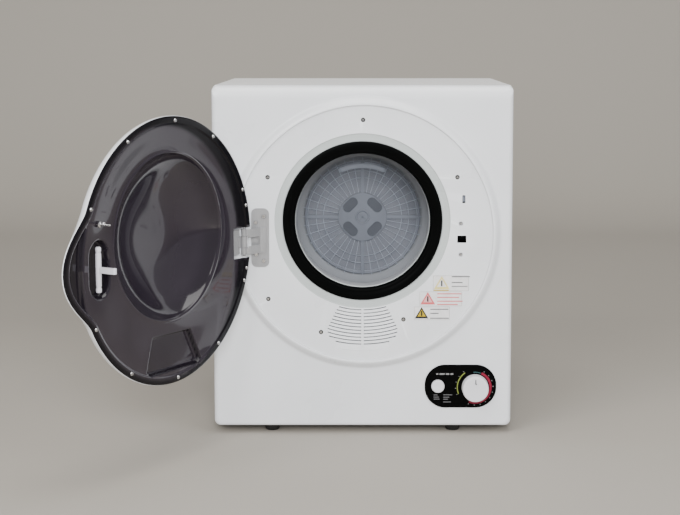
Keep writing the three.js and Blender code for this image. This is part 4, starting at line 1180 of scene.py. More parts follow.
def liner_height(x, z, angle, radius, share):
    """Height of the liner's face and the shade painted into it there, from its place on the plate."""
    y = RIM_Y / MM - 0.1
    rim = (sizes().door_radius + grip_share(angle) * sizes().grip_reach) / MM
    inset = rim - radius
    y -= 1.2 * (1 - smooth(0.6, 2.6, inset))
    # painted shade: a black band inside the rim, widest towards the hinge side
    band = 4 + 24 * max(0.0, -math.cos(angle + 0.35)) ** 1.2
    y -= 1.1 * smooth(11, 13.5, inset)
    y -= 5.9 * smooth(0.0, 1.0, share)
    painted_shade = 1 - smooth(band, band + 9, inset)
    latch = stadium_distance(x, z, LATCH_AT.x / MM - 1, LATCH_AT.z / MM, 23, 42)
    y -= 12 * (1 - smooth(-2.4, 0.6, latch))
    # painted shade in the latch's recess
    painted_shade = max(painted_shade, 0.72 * (1 - smooth(-1.5, 2.2, latch)))
    pocket = trapezoid_distance(x, z)
    y -= 8.5 * (1 - smooth(-2.2, 0.8, pocket))
    # painted shade along the pocket's edge and faintly inside it
    painted_shade = max(painted_shade, 0.8 * math.exp(-((pocket + 0.4) / 1.9) ** 2), 0.18 * (pocket < 0))
    grip = grip_distance(x, z, angle, radius)
    y -= 7.5 * (1 - smooth(-4.0, 0.5, grip))
    # painted shade in the finger well
    painted_shade = max(painted_shade, 0.62 * (1 - smooth(-2, 2, grip)))
    return y, painted_shade


BOWL_RADIUS = 127
PLATE_ROWS = 74
BOWL_ROWS = 44
LINER_WALL = 2 * MM


def liner_rows():
    """Rings of the liner's face from its rim down the bowl, and the shade painted at each point."""
    angles = liner_angles()
    bowl_y = RIM_Y / MM - 6.2
    depth = sizes().bowl_depth / MM

    def bowl_point(angle, share, y):
        reach = BOWL_RADIUS * share * MM
        return Vector((MOUTH.x + reach * math.cos(angle), y * MM, MOUTH.z + reach * math.sin(angle)))

    rows, painted_shades = [], []
    for row in range(PLATE_ROWS + 1):
        share = row / PLATE_ROWS
        ring, shade = [], []
        for a in angles:
            at = rim_point(a, 0.7, 0).lerp(bowl_point(a, 1, 0), share)
            dx, dz = at.x - SEAT_AT.x, at.z - SEAT_AT.z
            y, painted_shade = liner_height(at.x / MM, at.z / MM, math.atan2(dz, dx),
                                   math.hypot(dx, dz) / MM, share)
            y += 0.9 * math.exp(-((1 - share) / 0.025) ** 2)
            ring.append(Vector((at.x, y * MM, at.z)))
            shade.append(painted_shade)
        rows.append(ring)
        painted_shades += shade
    for k in range(1, BOWL_ROWS):
        reach = 1 - (k / BOWL_ROWS) ** 1.15
        wall = depth * (1 - reach ** 3.4) ** 0.72
        rows.append([bowl_point(a, reach, bowl_y - wall) for a in angles])
        # painted shade on the bowl's outer wall, none at its middle
        painted_shades += [0.3 * smooth(0.8, 0.97, reach)] * len(angles)
    return rows, painted_shades, (bowl_y - depth) * MM


def door_liner():
    """The smoky liner: one shell with its face, the same face set back, rim and bowl floor."""
    rows, painted_shades, centre_y = liner_rows()
    count = len(rows[0])
    face_points, quads = lofted(rows, closed=False)
    total = len(face_points)
    vertices = face_points + [v - Vector((0, LINER_WALL, 0)) for v in face_points]
    vertices += [Vector((MOUTH.x, centre_y - drop, MOUTH.z)) for drop in (0, LINER_WALL)]
    faces = quads + [tuple(total + corner for corner in quad[::-1]) for quad in quads]
    last = total - count
    for i in range(count):
        j = (i + 1) % count
        faces.append((i, total + i, total + j, j))
        faces.append((last + i, last + j, 2 * total))
        faces.append((total + last + j, total + last + i, 2 * total + 1))
    mesh = bpy.data.meshes.new("door_liner_shell")
    mesh.from_pydata([tuple(v) for v in vertices], [], faces)
    # painted shade per point, the same on both faces, and a trace at the bowl's floor
    attribute = mesh.attributes.new("PaintedShade", "FLOAT", "POINT")
    attribute.data.foreach_set("value", painted_shades + painted_shades + [0.05, 0.05])
    bm = bmesh.new()
    bm.from_mesh(mesh)
    bmesh.ops.recalc_face_normals(bm, faces=bm.faces)
    for face in bm.faces:
        face.smooth = True
    bm.to_mesh(mesh)
    bm.free()
    liner = bpy.data.objects.new("door_liner_shell", mesh)
    bpy.context.scene.collection.objects.link(liner)
    cut_by(liner, hinge_notch(20, RIM_Y / MM - 16, RIM_Y / MM + 4))
    moved(paint(liner, "smoke_plastic"), swung())
    placed(liner, "door", "smoke_plastic", "door_liner")


DOOR_SCREW_ANGLES = (93, 60, 122, 157, 165, 195, 201, 235, 267, 300, 332, 24)


def door_fittings():
    """Rim screws, and the post that presses the door switch with its screw."""
    heads = []
    for degrees in DOOR_SCREW_ANGLES:
        at = rim_point(math.radians(degrees), 7.2, RIM_Y / MM)
        heads.append((at.x, at.y + 0.2 * MM, at.z))
    piece = rear_screws("door_screws", heads, 2.9, 1.6)
    placed(moved(piece, swung()), "door", "hinge_steel")
    y = RIM_Y / MM
    x, z = SWITCH_AT.x, SWITCH_AT.z
    pin = turned("switch_post", x, z, [
        (0, y - 2.4), (4.4, y - 2.4), (4.5, y - 1), (4.2, y + 0.6), (2.6, y + 1.6), (1.8, y + 3),
        (1.6, y + 17.6), (1.2, y + 19), (0, y + 19.4)], 40)
    moved(paint(pin, "screw_steel"), swung())
    placed(pin, "door", "hinge_steel", "switch_pin")
    post_screw = rear_screws("switch_screw", [(x - 9 * MM, RIM_Y - 0.1 * MM, z)], 2.6, 1.6)
    placed(moved(post_screw, swung()), "door", "hinge_steel")


def latch():
    """The latch: a grooved upright bar with a hook standing out of its middle."""
    axis = RIM_Y - 6.5 * MM
    x, z = LATCH_AT.x, LATCH_AT.z
    half = 33
    profile = [(0, -half), (2.6, -half), (3.7, -half + 0.8), (4.2, -half + 2.4), (4.2, -27),
               (3.6, -26), (3.6, -24), (4.2, -23), (4.2, 23), (3.6, 24), (3.6, 26), (4.2, 27),
               (4.2, half - 2.4), (3.7, half - 0.8), (2.6, half), (0, half)]
    bar = moved(turned("bar", 0, 0, profile, 40), Matrix.Translation((x, axis, z))
                @ Matrix.Rotation(math.pi / 2, 4, "X"))
    hook_side = [(-2.6, 0), (-2.4, 24), (-4.2, 27), (-4.2, 28.6), (-2.8, 31.4), (0.6, 32),
                 (2.4, 30), (2.6, 0)]
    outline = [(x + px * MM, axis + py * MM) for px, py in hook_side]
    hook = prism("hook", outline, -4.4 * MM, 4.4 * MM, 25, 1.1 * MM)
    stand = Matrix(((1, 0, 0, 0), (0, 0, 1, 0), (0, 1, 0, z), (0, 0, 0, 1)))
    hook.data.transform(stand)
    hook.data.flip_normals()
    whole = merged("latch_tee", [paint(bar, "latch_white"), paint(hook, "latch_white")])
    moved(whole, swung())
    placed(whole, "latch", "white_plastic", "latch_hook")


# ------------------------------------------------------------------ hinge

HINGE_SCREWS = ((-160.6, 361.5), (-173.7, 351.4), (-160.6, 288.4), (-172.9, 299.1))


def hinge():
    """Base plate with a raised field, its four screws and the strap."""
    low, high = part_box("hinge_plate")
    x, z = (low.x / MM, high.x / MM), (low.z / MM, high.z / MM)
    inset = 3.4
    plate = plaque("hinge_base", x, z, 9, low.y, high.y, 8, 30, 0.7 * MM)
    field = plaque("hinge_base_field", (x[0] + inset, x[1] - inset), (z[0] + inset, z[1] - inset),
                   6, low.y - 0.45 * MM, low.y + 0.2 * MM, 8, 30, 0.35 * MM)
    whole = merged("hinge_base_plate", [paint(piece, "hinge_steel") for piece in (plate, field)])
    placed(whole, "cabinet", "hinge_steel", "hinge_plate")
    heads = [(x * MM, low.y - 1.2 * MM, z * MM) for x, z in HINGE_SCREWS]
    placed(screws("hinge_screw_heads", heads, 3.9, 2.2), "cabinet", "hinge_steel",
           "hinge_screw_1", "hinge_screw_2", "hinge_screw_3", "hinge_screw_4")
    hinge_arm(low.y - 0.3 * MM)


STRAP_BENDS = ((39, 1.1), (33, 1.1), (30.6, 1.5), (28.4, 3.4), (22, 11.2), (16, 18), (12.4, 21.4),
               (9, 23.6))


def hinge_arm(base_y):
    """A strap that leaves the base plate in two soft bends and curls round the pin."""
    low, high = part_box("hinge_arm")
    pin = Vector((HINGE.x, HINGE.y))
    thick = 2.2 * MM
    curl = 4.9 * MM
    middle_line = [Vector((low.x + x * MM, base_y - drop * MM)) for x, drop in STRAP_BENDS]
    start = middle_line[-1] - pin
    first = math.atan2(start.y, start.x)
    middle_line += [pin + Vector((math.cos(first - k * 0.35), math.sin(first - k * 0.35)))
                    * (curl - thick / 2) for k in range(0, 14)]
    left, right = [], []
    for k, point in enumerate(middle_line):
        ahead = middle_line[min(k + 1, len(middle_line) - 1)]
        behind = middle_line[max(k - 1, 0)]
        along = (ahead - behind).normalized()
        normal = Vector((-along.y, along.x)) * thick / 2
        left.append(point + normal)
        right.append(point - normal)
    outline = left + right[::-1]
    rings = [[Vector((p.x, p.y, z)) for p in outline] for z in (low.z, high.z)]
    vertices, faces = lofted(rings, closed=False)
    faces += folded_ends(len(outline), len(rings))
    arm = piece_from("hinge_strap", vertices, faces, 40)
    window = plaque("window", (-184, -167), (315.5, 329.5), 1, -240 * MM, base_y + 0.4 * MM)
    gap = plaque("gap", (-230, -183.4), (312.9, 332.1), 0.5, -240 * MM, -210 * MM, 2)
    for cutter in (window, gap):
        carved(arm, [cutter], 38)
    placed(paint(arm, "hinge_steel"), "cabinet", "hinge_steel", "hinge_arm")
    tab = plaque("strap_tab", (-181, -170), (318.5, 326), 1, base_y - 3.2 * MM, base_y - 1.7 * MM,
                 3, 30, 0.4 * MM)
    placed(paint(tab, "hinge_steel"), "cabinet", "hinge_steel")


# ------------------------------------------------------------------ drum and filter

def drum():
    """Beaded barrel with a rolled mouth, pierced rear plate and three lifters."""
    x, z = DRUM_AXIS.x, DRUM_AXIS.z
    low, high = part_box("drum_shell")
    front, rear = low.y / MM, high.y / MM
    wall = [(204.0, rear), (204.0, rear - 20)]
    for k in range(1, 40):
        y = rear - 20 - k * (rear - front - 40) / 40
        bead = 1.3 * max(0.0, math.cos((k % 10) / 10 * TAU)) ** 6
        wall.append((204.0 - bead, y))
    wall += [(204.0, front + 14), (202.6, front + 6), (198, front + 2.4), (190, front + 1.5),
             (144, front + 1.5), (140.2, front + 2.6), (139.2, front + 5), (139, front + 8),
             (140, front + 8.2), (140.4, front + 5.6), (141.6, front + 3.4), (144.4, front + 0.2),
             (191, front), (199.4, front + 1.2), (204.4, front + 5), (205.4, front + 14),
             (205.4, rear)]
    shell = turned("drum_barrel", x, z, wall, 180, 40)
    placed(paint(shell, "drum_steel"), "drum", "drum_steel", "drum_shell")
    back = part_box("drum_rear_plate")[0].y / MM
    plate = turned("drum_end", x, z, [
        (8.4, back + 6), (8.4, back + 4.4), (98, back + 4.4), (103, back + 3.2), (106, back + 0.6),
        (109, back - 0.1), (122, back + 0.2), (135, back + 1.0), (150, back + 0.4), (170, back),
        (196, back), (201, back - 0.4), (203.4, back - 0.2), (203.6, back + 1.4),
        (196, back + 1.6), (150, back + 2), (122, back + 2), (110, back + 2), (105, back + 4.8),
        (98, back + 6)], 180, 40)
    holes = [turned("vent", x + 66 * MM * math.cos(math.radians(a)),
                    z + 66 * MM * math.sin(math.radians(a)), [
        (0, back - 5), (26, back - 5), (26, back + 12), (0, back + 12)], 40) for a in range(30, 390, 60)]
    carved(plate, holes, 35)
    placed(paint(plate, "drum_rear"), "drum", "drum_steel", "drum_rear_plate")
    for index in range(3):
        lifter(index)


def lifter(index):
    """A round-topped bar along the drum, low at both ends."""
    node = f"drum_baffle_{index + 1}"
    low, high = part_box("drum_baffle_2")
    x, z = DRUM_AXIS.x, DRUM_AXIS.z
    side = [(-23, -202.2), (-20, -200.4), (-15, -192), (-10.6, -179), (-7, -172), (-3, -170),
            (3, -170), (7, -172), (10.6, -179), (15, -192), (20, -200.4), (23, -202.2), (12, -202.9),
            (0, -203.1), (-12, -202.9)]
    stations = 26
    rings = []
    for k in range(stations + 1):
        share = k / stations
        y = low.y + (high.y - low.y) * share
        end = min(share, 1 - share)
        rise = smooth(0.0, 0.14, end)
        rings.append([Vector((px * MM * (0.7 + 0.3 * rise), y,
                              (pz if pz < -202 else -202 + (pz + 202) * rise) * MM))
                      for px, pz in side])
    vertices, faces = lofted(rings, closed=False, poles=(True, True))
    bar = piece_from(node + "_lifter", vertices, faces, 45)
    turn = math.radians(60 + 120 * index)
    matrix = Matrix.Translation((x, 0, z)) @ Matrix.Rotation(turn, 4, "Y")
    placed(paint(moved(bar, matrix), "grey_plastic"), "drum", "grey_plastic", node)


def filter_grille():
    """Rings, ribs, boss, handle and nut in one grille, and the lint screen behind it; rings, thin ribs,
    ticks and handle take a lighter copy of the grey as a painted highlight.
    """
    x, z = DRUM_AXIS.x, DRUM_AXIS.z
    low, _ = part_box("filter_cover")
    y = low.y / MM + 3
    parts = []
    for inner, outer, lift in ((69.2, 70.4, 0.3), (82, 83.2, 0.3), (97, 98.2, 0.3)):
        # painted highlight: the rings take the lighter copy of the grey
        parts.append(paint(turned("ring", x, z, [
            (inner, y + 4), (inner, y + 0.5 - lift), (inner + 0.4, y - lift),
            (outer - 0.4, y - lift), (outer, y + 0.5 - lift), (outer, y + 4)], 160), "filter_highlight"))
    rim = turned("rim", x, z, [
        (98.6, y + 5), (98.6, y + 2.6), (100, y + 1.6), (101.6, y + 1.4), (102.8, y + 2.2),
        (103, y + 3.4), (103, y + 5)], 160)
    parts.append(paint(rim, "grey_plastic"))
    # painted highlight: thin ribs and ticks take the lighter copy of the grey
    thin = ribs("thin", x, y + 2, z, 40, 44, 98, 0.9, 4, "filter_highlight")
    ticks = ribs("ticks", x, y + 3, z, 40, 98, 106, 1, 2.4, "filter_highlight")
    thick = ribs("thick", x, y + 1.8, z, 4, 40, 100, 6.4, 4.6, "grey_plastic")
    parts += [thin, ticks, thick, boss_plate(x, y, z), grille_handle(x, y, z), centre_nut(x, y, z)]
    whole = merged("filter_grille", parts)
    placed(whole, "filter", "grey_plastic", "filter_cover")
    disc_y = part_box("lint_screen")[0].y / MM
    screen = turned("lint_weave_disc", x, z, [
        (14.6, disc_y), (30, disc_y), (97, disc_y - 0.4), (99, disc_y), (99, disc_y + 0.8),
        (30, disc_y + 0.8), (14.6, disc_y + 0.8)], 96)
    placed(paint(screen, "lint"), "drum", "grey_plastic", "lint_screen")


def boss_plate(x, y, z):
    """The boss: a round-cornered cross with a stadium window in each quarter, and a darker disc behind
    the windows as painted shade.
    """
    outline = []
    for k in range(160):
        angle = TAU * k / 160
        flat = 43.5 - 2.2 * abs(math.sin(2 * angle)) ** 3
        outline.append((x + flat * MM * math.cos(angle), z + flat * MM * math.sin(angle)))
    boss = prism("boss", outline, (y - 1) * MM, (y + 5) * MM, 40, 0.8 * MM)
    windows = []
    for k in range(4):
        angle = math.radians(45 + 90 * k)
        window = plaque("window", (22, 39), (-15, 15), 8, (y - 4) * MM, (y + 9) * MM, 6)
        matrix = Matrix.Translation((x, 0, z)) @ Matrix.Rotation(-angle, 4, "Y")
        windows.append(moved(window, matrix))
    carved(boss, windows, 35)
    # painted shade: a darker grey disc behind the windows
    floor = turned("window_shade_disc", x, z, [
        (15, y + 3.6), (41.5, y + 3.6), (41.5, y + 4.6), (15, y + 4.6)], 64)
    return merged("boss_plate", [paint(boss, "grey_plastic"), paint(floor, "filter_window_shade")])


def grille_handle(x, y, z):
    """A raised finger bar along the top of the grille."""
    stations = 48
    rings = []
    section = [(-4.6, 1.5), (-4.6, -1.4), (-3.6, -2.6), (0, -3), (3.6, -2.6), (4.6, -1.4), (4.6, 1.5)]
    for k in range(stations + 1):
        share = k / stations
        angle = math.radians(90 - 27 + 54 * share)
        fade = smooth(0, 0.06, min(share, 1 - share))
        rings.append([Vector((x + (92 + pr * (0.55 + 0.45 * fade)) * MM * math.cos(angle),
                              (y + (py if py > 0 else py * fade)) * MM,
                              z + (92 + pr * (0.55 + 0.45 * fade)) * MM * math.sin(angle)))
                      for pr, py in section])
    vertices, faces = lofted(rings, closed=False, poles=(True, True))
    # painted highlight: the handle takes the lighter copy of the grey
    return paint(piece_from("handle", vertices, faces, 50), "filter_highlight")


def centre_nut(x, y, z):
    """The round nut in the middle of the grille, with two crossed bars on it."""
    nut = turned("nut", x, z, [
        (0, y - 0.6), (8.8, y - 0.6), (9.6, y - 1.6), (10.4, y - 2.6), (12.0, y - 2.8), (13, y - 2.2),
        (13.2, y - 1), (13.4, y + 2), (0, y + 2)], 64)
    bars = []
    for angle in (45, 135):
        bar = plaque("bar", (-8.6, 8.6), (-1.5, 1.5), 1.2, (y - 2.2) * MM, (y + 0.5) * MM, 3, 30,
                     0.4 * MM)
        bars.append(moved(bar, Matrix.Translation((x, 0, z))
                          @ Matrix.Rotation(math.radians(angle), 4, "Y")))
    return merged("centre", [paint(p, "grey_plastic") for p in [nut, *bars]])


# ------------------------------------------------------------------ controls

def arc_band(inner, outer, start, end, y0, y1):
    """A printed band about the knob; angles in degrees, clockwise from the top."""
    steps = max(6, int(abs(end - start) / 4))
    angles = [math.radians(start + (end - start) * k / steps) for k in range(steps + 1)]
    edge = [(KNOB_AT.x + radius * MM * math.sin(a), KNOB_AT.z + radius * MM * math.cos(a))
            for radius, order in ((outer, angles), (inner, angles[::-1])) for a in order]
    return prism("band", edge, y0, y1)


def fascia():
    """The stadium-shaped control plate."""
    low, high = FASCIA_LOW, FASCIA_HIGH
    plate = prism("fascia", rounded_outline(low.x, high.x, low.z, high.z,
                                            (high.z - low.z) / 2 - 2 * MM, 24),
                  low.y, high.y, 30, 0.9 * MM)
    carved(plate, control_holes(5, 11.5, -180, 64), 35)
    placed(paint(plate, "black_plastic"), "cabinet", "black_plastic", "control_fascia")


DIAL_BANDS = ((23.6, 27.6, 24, 202, "print_red"), (24.6, 26, -6, 22, "print_teal"),
              (28.4, 30, 248, 326, "print_green"))
DIAL_TICKS = ((range(30, 205, 19), 29.8, 0.7, 1.5), (range(248, 330, 19), 32.2, 0.9, 0.9))
SMALL_PRINT = ((117, 64.4, 7), (117, 60.8, 9), (117, 57.4, 10), (133, 64.6, 15), (133, 60.6, 10),
               (133, 57.2, 8), (133, 52.6, 13))
TITLE_BARS = ((121, 4), (126.5, 9), (137, 6), (144.5, 5))


def dial_print():
    """Coloured arcs and ticks about the knob, and bars in place of words."""
    y0, y1 = FASCIA_LOW.y - 0.12 * MM, FASCIA_LOW.y + 0.1 * MM
    marks = [paint(arc_band(*band, y0, y1), ink) for *band, ink in DIAL_BANDS]

    def bar(left, right, z, height, ink):
        marks.append(paint(plaque("bar", (left, right), (z - height / 2, z + height / 2),
                                  height * 0.4, y0, y1, 2), ink))

    for degrees, radius, half, height in DIAL_TICKS:
        for turn in map(math.radians, degrees):
            x = KNOB_AT.x / MM + radius * math.sin(turn)
            bar(x - half, x + half, KNOB_AT.z / MM + radius * math.cos(turn), height,
                "print_pale")
    for x, z, width in SMALL_PRINT:
        bar(x, x + width, z, 1.5, "print_grey")
    for x, width in TITLE_BARS:
        bar(x, x + width, 99.5, 2.6, "print_pale")
    placed(merged("dial_print", marks), "cabinet", "black_plastic")


def knob_and_button():
    """The timer's knob on its spindle, and the round button."""
    low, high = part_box("timer_knob")
    at = KNOB_AT
    front = low.y / MM
    base = FASCIA_LOW.y / MM - 0.6
    knob = turned("timer_dial", at.x, at.z, [
        (0, front + 0.5), (16, front + 0.35), (19.2, front), (20.2, front + 0.3), (20.9, front + 1.2),
        (21.4, front + 3), (21.9, base - 1), (22, base - 0.2), (21.4, base), (0, base)], 128)
    x, z = at.x / MM, at.z / MM
    near, far = (front - 0.02) * MM, (front + 1) * MM
    pointer = plaque("pointer", (x - 0.7, x + 0.7), (z + 8.4, z + 16.4), 0.5, near, far)
    foot = plaque("pointer_foot", (x - 0.2, x + 1.9), (z + 8.4, z + 10), 0.4, near, far)
    shaft = turned("spindle", at.x, at.z, [(0, base - 1), (3, base - 1), (3, base + 17), (0, base + 17)],
                   32)
    whole = merged("timer_dial_knob", [paint(knob, "knob_white"), paint(shaft, "screw_steel"),
                                       paint(pointer, "print_black"), paint(foot, "print_black")])
    placed(whole, "timer", "white_plastic", "timer_knob")
    low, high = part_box("selector_button")
    at = BUTTON_AT
    front = low.y / MM
    cap = turned("start_button", at.x, at.z, [
        (0, front + 0.9), (5, front + 0.7), (8.4, front), (9.6, front + 0.15), (10.4, front + 0.9),
        (10.7, front + 2), (10.7, high.y / MM - 10), (4, high.y / MM - 9.6), (4, high.y / MM),
        (0, high.y / MM)], 96)
    placed(paint(cap, "knob_white"), "button", "white_plastic", "selector_button")


# ------------------------------------------------------------------ labels

LABELS = (
    ((115, 174), (238, 264), "paper", "print_cream",
     ((0.92, 30, "print_grey"), (0.55, 18, "print_grey"), (0.3, 26, "print_pale"))),
    ((93, 163), (213, 237.5), "print_blush", "print_pink",
     ((0.84, 40, "print_pink"), (0.6, 36, "print_pink"), (0.34, 42, "print_pink"),
      (0.12, 34, "print_pink"))),
    ((84, 143), (190, 212.5), "print_yellow", "print_black",
     ((0.8, 30, "print_grey"), (0.5, 14, "print_grey"), (0.14, 31, "print_grey"))),
)


def label(x, z, field, edge, bars):
    """A thin sticker with a warning triangle and lines in place of words."""
    (x0, x1), (z0, z1) = x, z
    parts = []

    def strip(left, right, low, high, radius, out, under, material, steps=3):
        parts.append(paint(plaque("strip", (left, right), (low, high), radius,
                                  FLOOR_Y - out * MM, FLOOR_Y - under * MM, steps), material))

    strip(x0, x1, z0, z1, 1, 0.16, 0.02, "paper")
    for low in (z0 + 0.3, z1 - 0.9):
        strip(x0 + 0.3, x1 - 0.3, low, low + 0.6, 0.2, 0.2, 0.1, "print_line", 2)
    for left in (x0 + 0.3, x1 - 0.9):
        strip(left, left + 0.6, z0 + 1, z1 - 1, 0.2, 0.2, 0.1, "print_line", 2)
    cx = x0 + (z1 - z0) * 0.5 + 1.5
    cz = (z0 + z1) / 2
    size = (z1 - z0) * 0.46
    for scale, out, under, material in ((1.0, 0.24, 0.1, edge), (0.62, 0.3, 0.2, field)):
        half, foot = size * 1.08 * scale, cz - size * 0.82 * scale
        corners = [(cx * MM, (cz + size * scale) * MM), ((cx - half) * MM, foot * MM),
                   ((cx + half) * MM, foot * MM)]
        parts.append(paint(prism("triangle", corners, FLOOR_Y - out * MM, FLOOR_Y - under * MM),
                           material))
    strip(cx - 1.2, cx + 1.2, cz - size * 0.42, cz + size * 0.4, 0.8, 0.36, 0.28, "print_black")
    start = cx + size * 1.35
    for share, width, material in bars:
        low = z0 + (z1 - z0) * share - 0.8
        strip(start, start + width, low, low + 1.6, 0.64, 0.26, 0.14, material, 2)
    if field == "paper":
        strip(x0 + 1, x0 + 26, z0 + 0.5, z0 + 2.3, 0.72, 0.28, 0.14, "print_yellow", 2)
    return parts


def labels():
    """All the stickers as one piece."""
    parts = [part for values in LABELS for part in label(*values)]
    placed(merged("caution_labels", parts), "cabinet", "white_plastic")


# ------------------------------------------------------------------ finishes on the frame's own parts

CARRIED = {
    "white_paint": ("back_panel",),
    "zinc_sheet": ("base_pan", "motor_body", "motor_bracket", "idler_bracket", "rear_bulkhead",
                   "heater_box"),
    "black_plastic": ("timer_body", "selector_switch_body", "latch_strike", "door_switch_body",
                      "fan_housing", "fan_drive_pulley", "blower_pulley", "idler_pulley"),
    "hinge_steel": ("hinge_pin", "hinge_leaf", "drum_shaft", "motor_shaft"),
    "black_rubber": ("drum_belt", "fan_belt"),
    "grey_plastic": ("air_duct", "blower_wheel", "door_switch_plunger"),
    "felt": ("drum_felt_seal",),
    "bronze": ("drum_bearing",),
}


def carried_parts():
    """Gives finishes to the nodes that are shown as they are."""
    for name, nodes in CARRIED.items():
        for node in nodes:
            paint(frame["nodes"][node], name)


# ------------------------------------------------------------------ stage

VIEW_DISTANCE = 2.453
EYE_HEIGHT = 0.655
LOOK_DOWN = math.radians(6)
LENS_LENGTH = 80.4176
LENS_SHIFT = (-0.033088, -0.092941)
LAMPS = (
    ("key", (-1.6, -2.4, 2.4), (0, FLOOR_Y, 0.29), 1.8, 62, (1.0, 0.985, 0.965)),
    ("fill", (2.3, -2.2, 1.5), (0, FLOOR_Y, 0.29), 1.8, 34, (0.96, 0.98, 1.0)),
    ("top", (0.1, -0.3, 2.5), (0, -0.1, 0.4), 1.6, 34, (1.0, 0.99, 0.97)),
    ("front", (0.1, -3.5, 1.15), (0, 0, 0.33), 1.0, 120, (0.98, 0.99, 1.0)),
)


def stage():
    """Sweep, lamps, soft room light and camera."""
    cyclorama()
    for values in LAMPS:
        lamp(*values)
    world = bpy.data.worlds.new("studio")
    world.use_nodes = True
    background = world.node_tree.nodes["Background"]
    background.inputs["Color"].default_value = (0.80, 0.80, 0.80, 1)
    background.inputs["Strength"].default_value = 0.5
    bpy.context.scene.world = world
    camera()


def cyclorama():
    """Floor and back wall in one sweep."""
    start, radius = 2.3, 1.2
    rows = [(-5.0, 0.0), (start, 0.0)]
    rows += [(start + radius * math.sin(a), radius - radius * math.cos(a))
             for a in [math.pi / 2 * k / 16 for k in range(1, 17)]]
    rows.append((start + radius, 5.0))
    vertices = [(x, y, z) for y, z in rows for x in (-6.0, 6.0)]
    faces = [(2 * k, 2 * k + 1, 2 * k + 3, 2 * k + 2) for k in range(len(rows) - 1)]
    mesh = bpy.data.meshes.new("studio_sweep")
    mesh.from_pydata(vertices, [], faces)
    for polygon in mesh.polygons:
        polygon.use_smooth = True
    sweep = bpy.data.objects.new("studio_sweep", mesh)
    bpy.context.scene.collection.objects.link(sweep)
    finish = Finish("studio_paper", (0.40, 0.375, 0.335), 0.85)
    grains = finish.group("grain", Grain_Scale=60.0, Mottle_Scale=1.2)
    floor = finish.mix(finish.range(grains.outputs["Mottle"], 0, 1),
                       (0.352, 0.325, 0.286), (0.366, 0.338, 0.298))
    finish.feed("Base Color", finish.mix(finish.range(finish.along("Y"), 0, 1, 0.8, 2.8), floor,
                                         (0.52, 0.485, 0.43)))
    mesh.materials.append(finish.material)


def lamp(name, place, target, size, power, colour):
    """A square lamp aimed at a target; only two of them show in glossy faces."""
    light = bpy.data.lights.new(name, "AREA")
    light.shape = "SQUARE"
    light.size = size
    light.energy = power
    light.color = colour
    lamp_object = bpy.data.objects.new(name, light)
    lamp_object.location = place
    lamp_object.visible_glossy = name in ("key", "top")
    lamp_object.rotation_euler = (Vector(target) - Vector(place)).to_track_quat("-Z", "Y").to_euler()
    bpy.context.scene.collection.objects.link(lamp_object)


def camera():
    """A long lens a little above the door's middle, tipped down and shifted to centre the view."""
    data = bpy.data.cameras.new("camera")
    data.sensor_width = 36
    data.lens = LENS_LENGTH
    data.shift_x, data.shift_y = LENS_SHIFT
    data.clip_end = 50
    viewer = bpy.data.objects.new("camera", data)
    viewer.location = (0, FLOOR_Y - VIEW_DISTANCE, EYE_HEIGHT)
    viewer.rotation_euler = (math.pi / 2 - LOOK_DOWN, 0, 0)
    bpy.context.scene.collection.objects.link(viewer)
    bpy.context.scene.camera = viewer


# ------------------------------------------------------------------ operators

class DRYER_OT_finishes(bpy.types.Operator):
    """Make the dryer's materials"""

    bl_idname = "dryer.finishes"
    bl_label = "Make Finishes"

    def execute(self, context):
        MATERIALS.update(make_materials())
        carried_parts()
        return {"FINISHED"}


class DRYER_OT_front(bpy.types.Operator):
    """Build the front moulding with its seat, louvre and loading opening"""

    bl_idname = "dryer.front"
    bl_label = "Build Front"

    def execute(self, context):
        front_moulding()
        front_trim()
        loading_opening()
        return {"FINISHED"}


class DRYER_OT_casing(bpy.types.Operator):
    """Build the painted casing, the feet and the back fittings"""

    bl_idname = "dryer.casing"
    bl_label = "Build Casing"

    def execute(self, context):
        casing_wrap()
        feet()
        back_fittings()
        return {"FINISHED"}


class DRYER_OT_door(bpy.types.Operator):
    """Build the open door with its liner, window, latch and screws"""

    bl_idname = "dryer.door"
    bl_label = "Build Door"

    def execute(self, context):
        door_frame()
        door_window()
        door_liner()
        door_fittings()
        latch()
        return {"FINISHED"}


class DRYER_OT_hinge(bpy.types.Operator):
    """Build the hinge plate, strap and screws"""

    bl_idname = "dryer.hinge"
    bl_label = "Build Hinge"

    def execute(self, context):
        hinge()
        return {"FINISHED"}


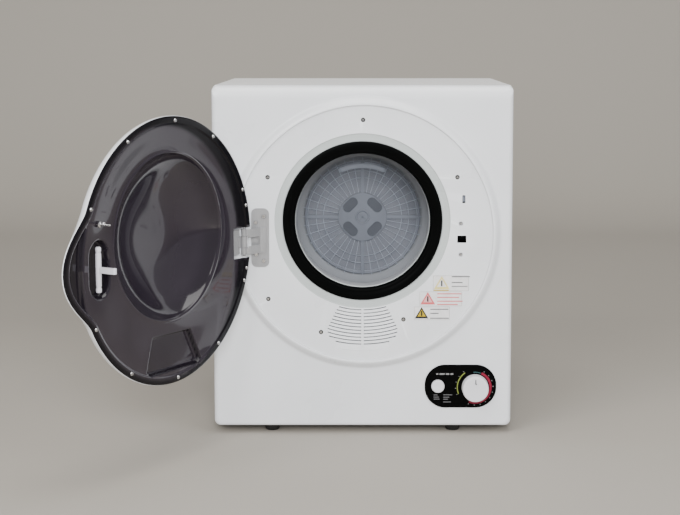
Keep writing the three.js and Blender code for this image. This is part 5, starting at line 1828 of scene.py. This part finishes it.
class DRYER_OT_drum(bpy.types.Operator):
    """Build the drum, its lifters and the filter grille"""

    bl_idname = "dryer.drum"
    bl_label = "Build Drum"

    def execute(self, context):
        drum()
        filter_grille()
        return {"FINISHED"}


class DRYER_OT_controls(bpy.types.Operator):
    """Build the fascia, dial print, knob and button"""

    bl_idname = "dryer.controls"
    bl_label = "Build Controls"

    def execute(self, context):
        fascia()
        dial_print()
        knob_and_button()
        return {"FINISHED"}


class DRYER_OT_labels(bpy.types.Operator):
    """Build the caution labels"""

    bl_idname = "dryer.labels"
    bl_label = "Build Labels"

    def execute(self, context):
        labels()
        return {"FINISHED"}


class DRYER_OT_stage(bpy.types.Operator):
    """Set the floor, the lights and the camera"""

    bl_idname = "dryer.stage"
    bl_label = "Set Stage"

    def execute(self, context):
        stage()
        return {"FINISHED"}


OPERATORS = (DRYER_OT_finishes, DRYER_OT_front, DRYER_OT_casing, DRYER_OT_door, DRYER_OT_hinge,
             DRYER_OT_drum, DRYER_OT_controls, DRYER_OT_labels, DRYER_OT_stage)


class DRYER_PT_builder(bpy.types.Panel):
    """Lists the dryer's builders and its settings"""

    bl_label = "Compact Dryer"
    bl_idname = "DRYER_PT_builder"
    bl_space_type = "VIEW_3D"
    bl_region_type = "UI"
    bl_category = "Dryer"

    def draw(self, context):
        for group in (context.scene.dryer_sizes, context.scene.dryer_finishes):
            for name in group.__annotations__:
                self.layout.prop(group, name)
        for operator in OPERATORS:
            self.layout.operator(operator.bl_idname)


CLASSES = (DryerSizes, DryerFinishes, *OPERATORS, DRYER_PT_builder)


def register():
    for cls in CLASSES:
        bpy.utils.register_class(cls)
    bpy.types.Scene.dryer_sizes = bpy.props.PointerProperty(type=DryerSizes)
    bpy.types.Scene.dryer_finishes = bpy.props.PointerProperty(type=DryerFinishes)


def unregister():
    del bpy.types.Scene.dryer_finishes
    del bpy.types.Scene.dryer_sizes
    for cls in reversed(CLASSES):
        bpy.utils.unregister_class(cls)


def main():
    register()
    for operator in OPERATORS:
        group, name = operator.bl_idname.split(".")
        getattr(getattr(bpy.ops, group), name)()


if __name__ == "__main__":
    main()
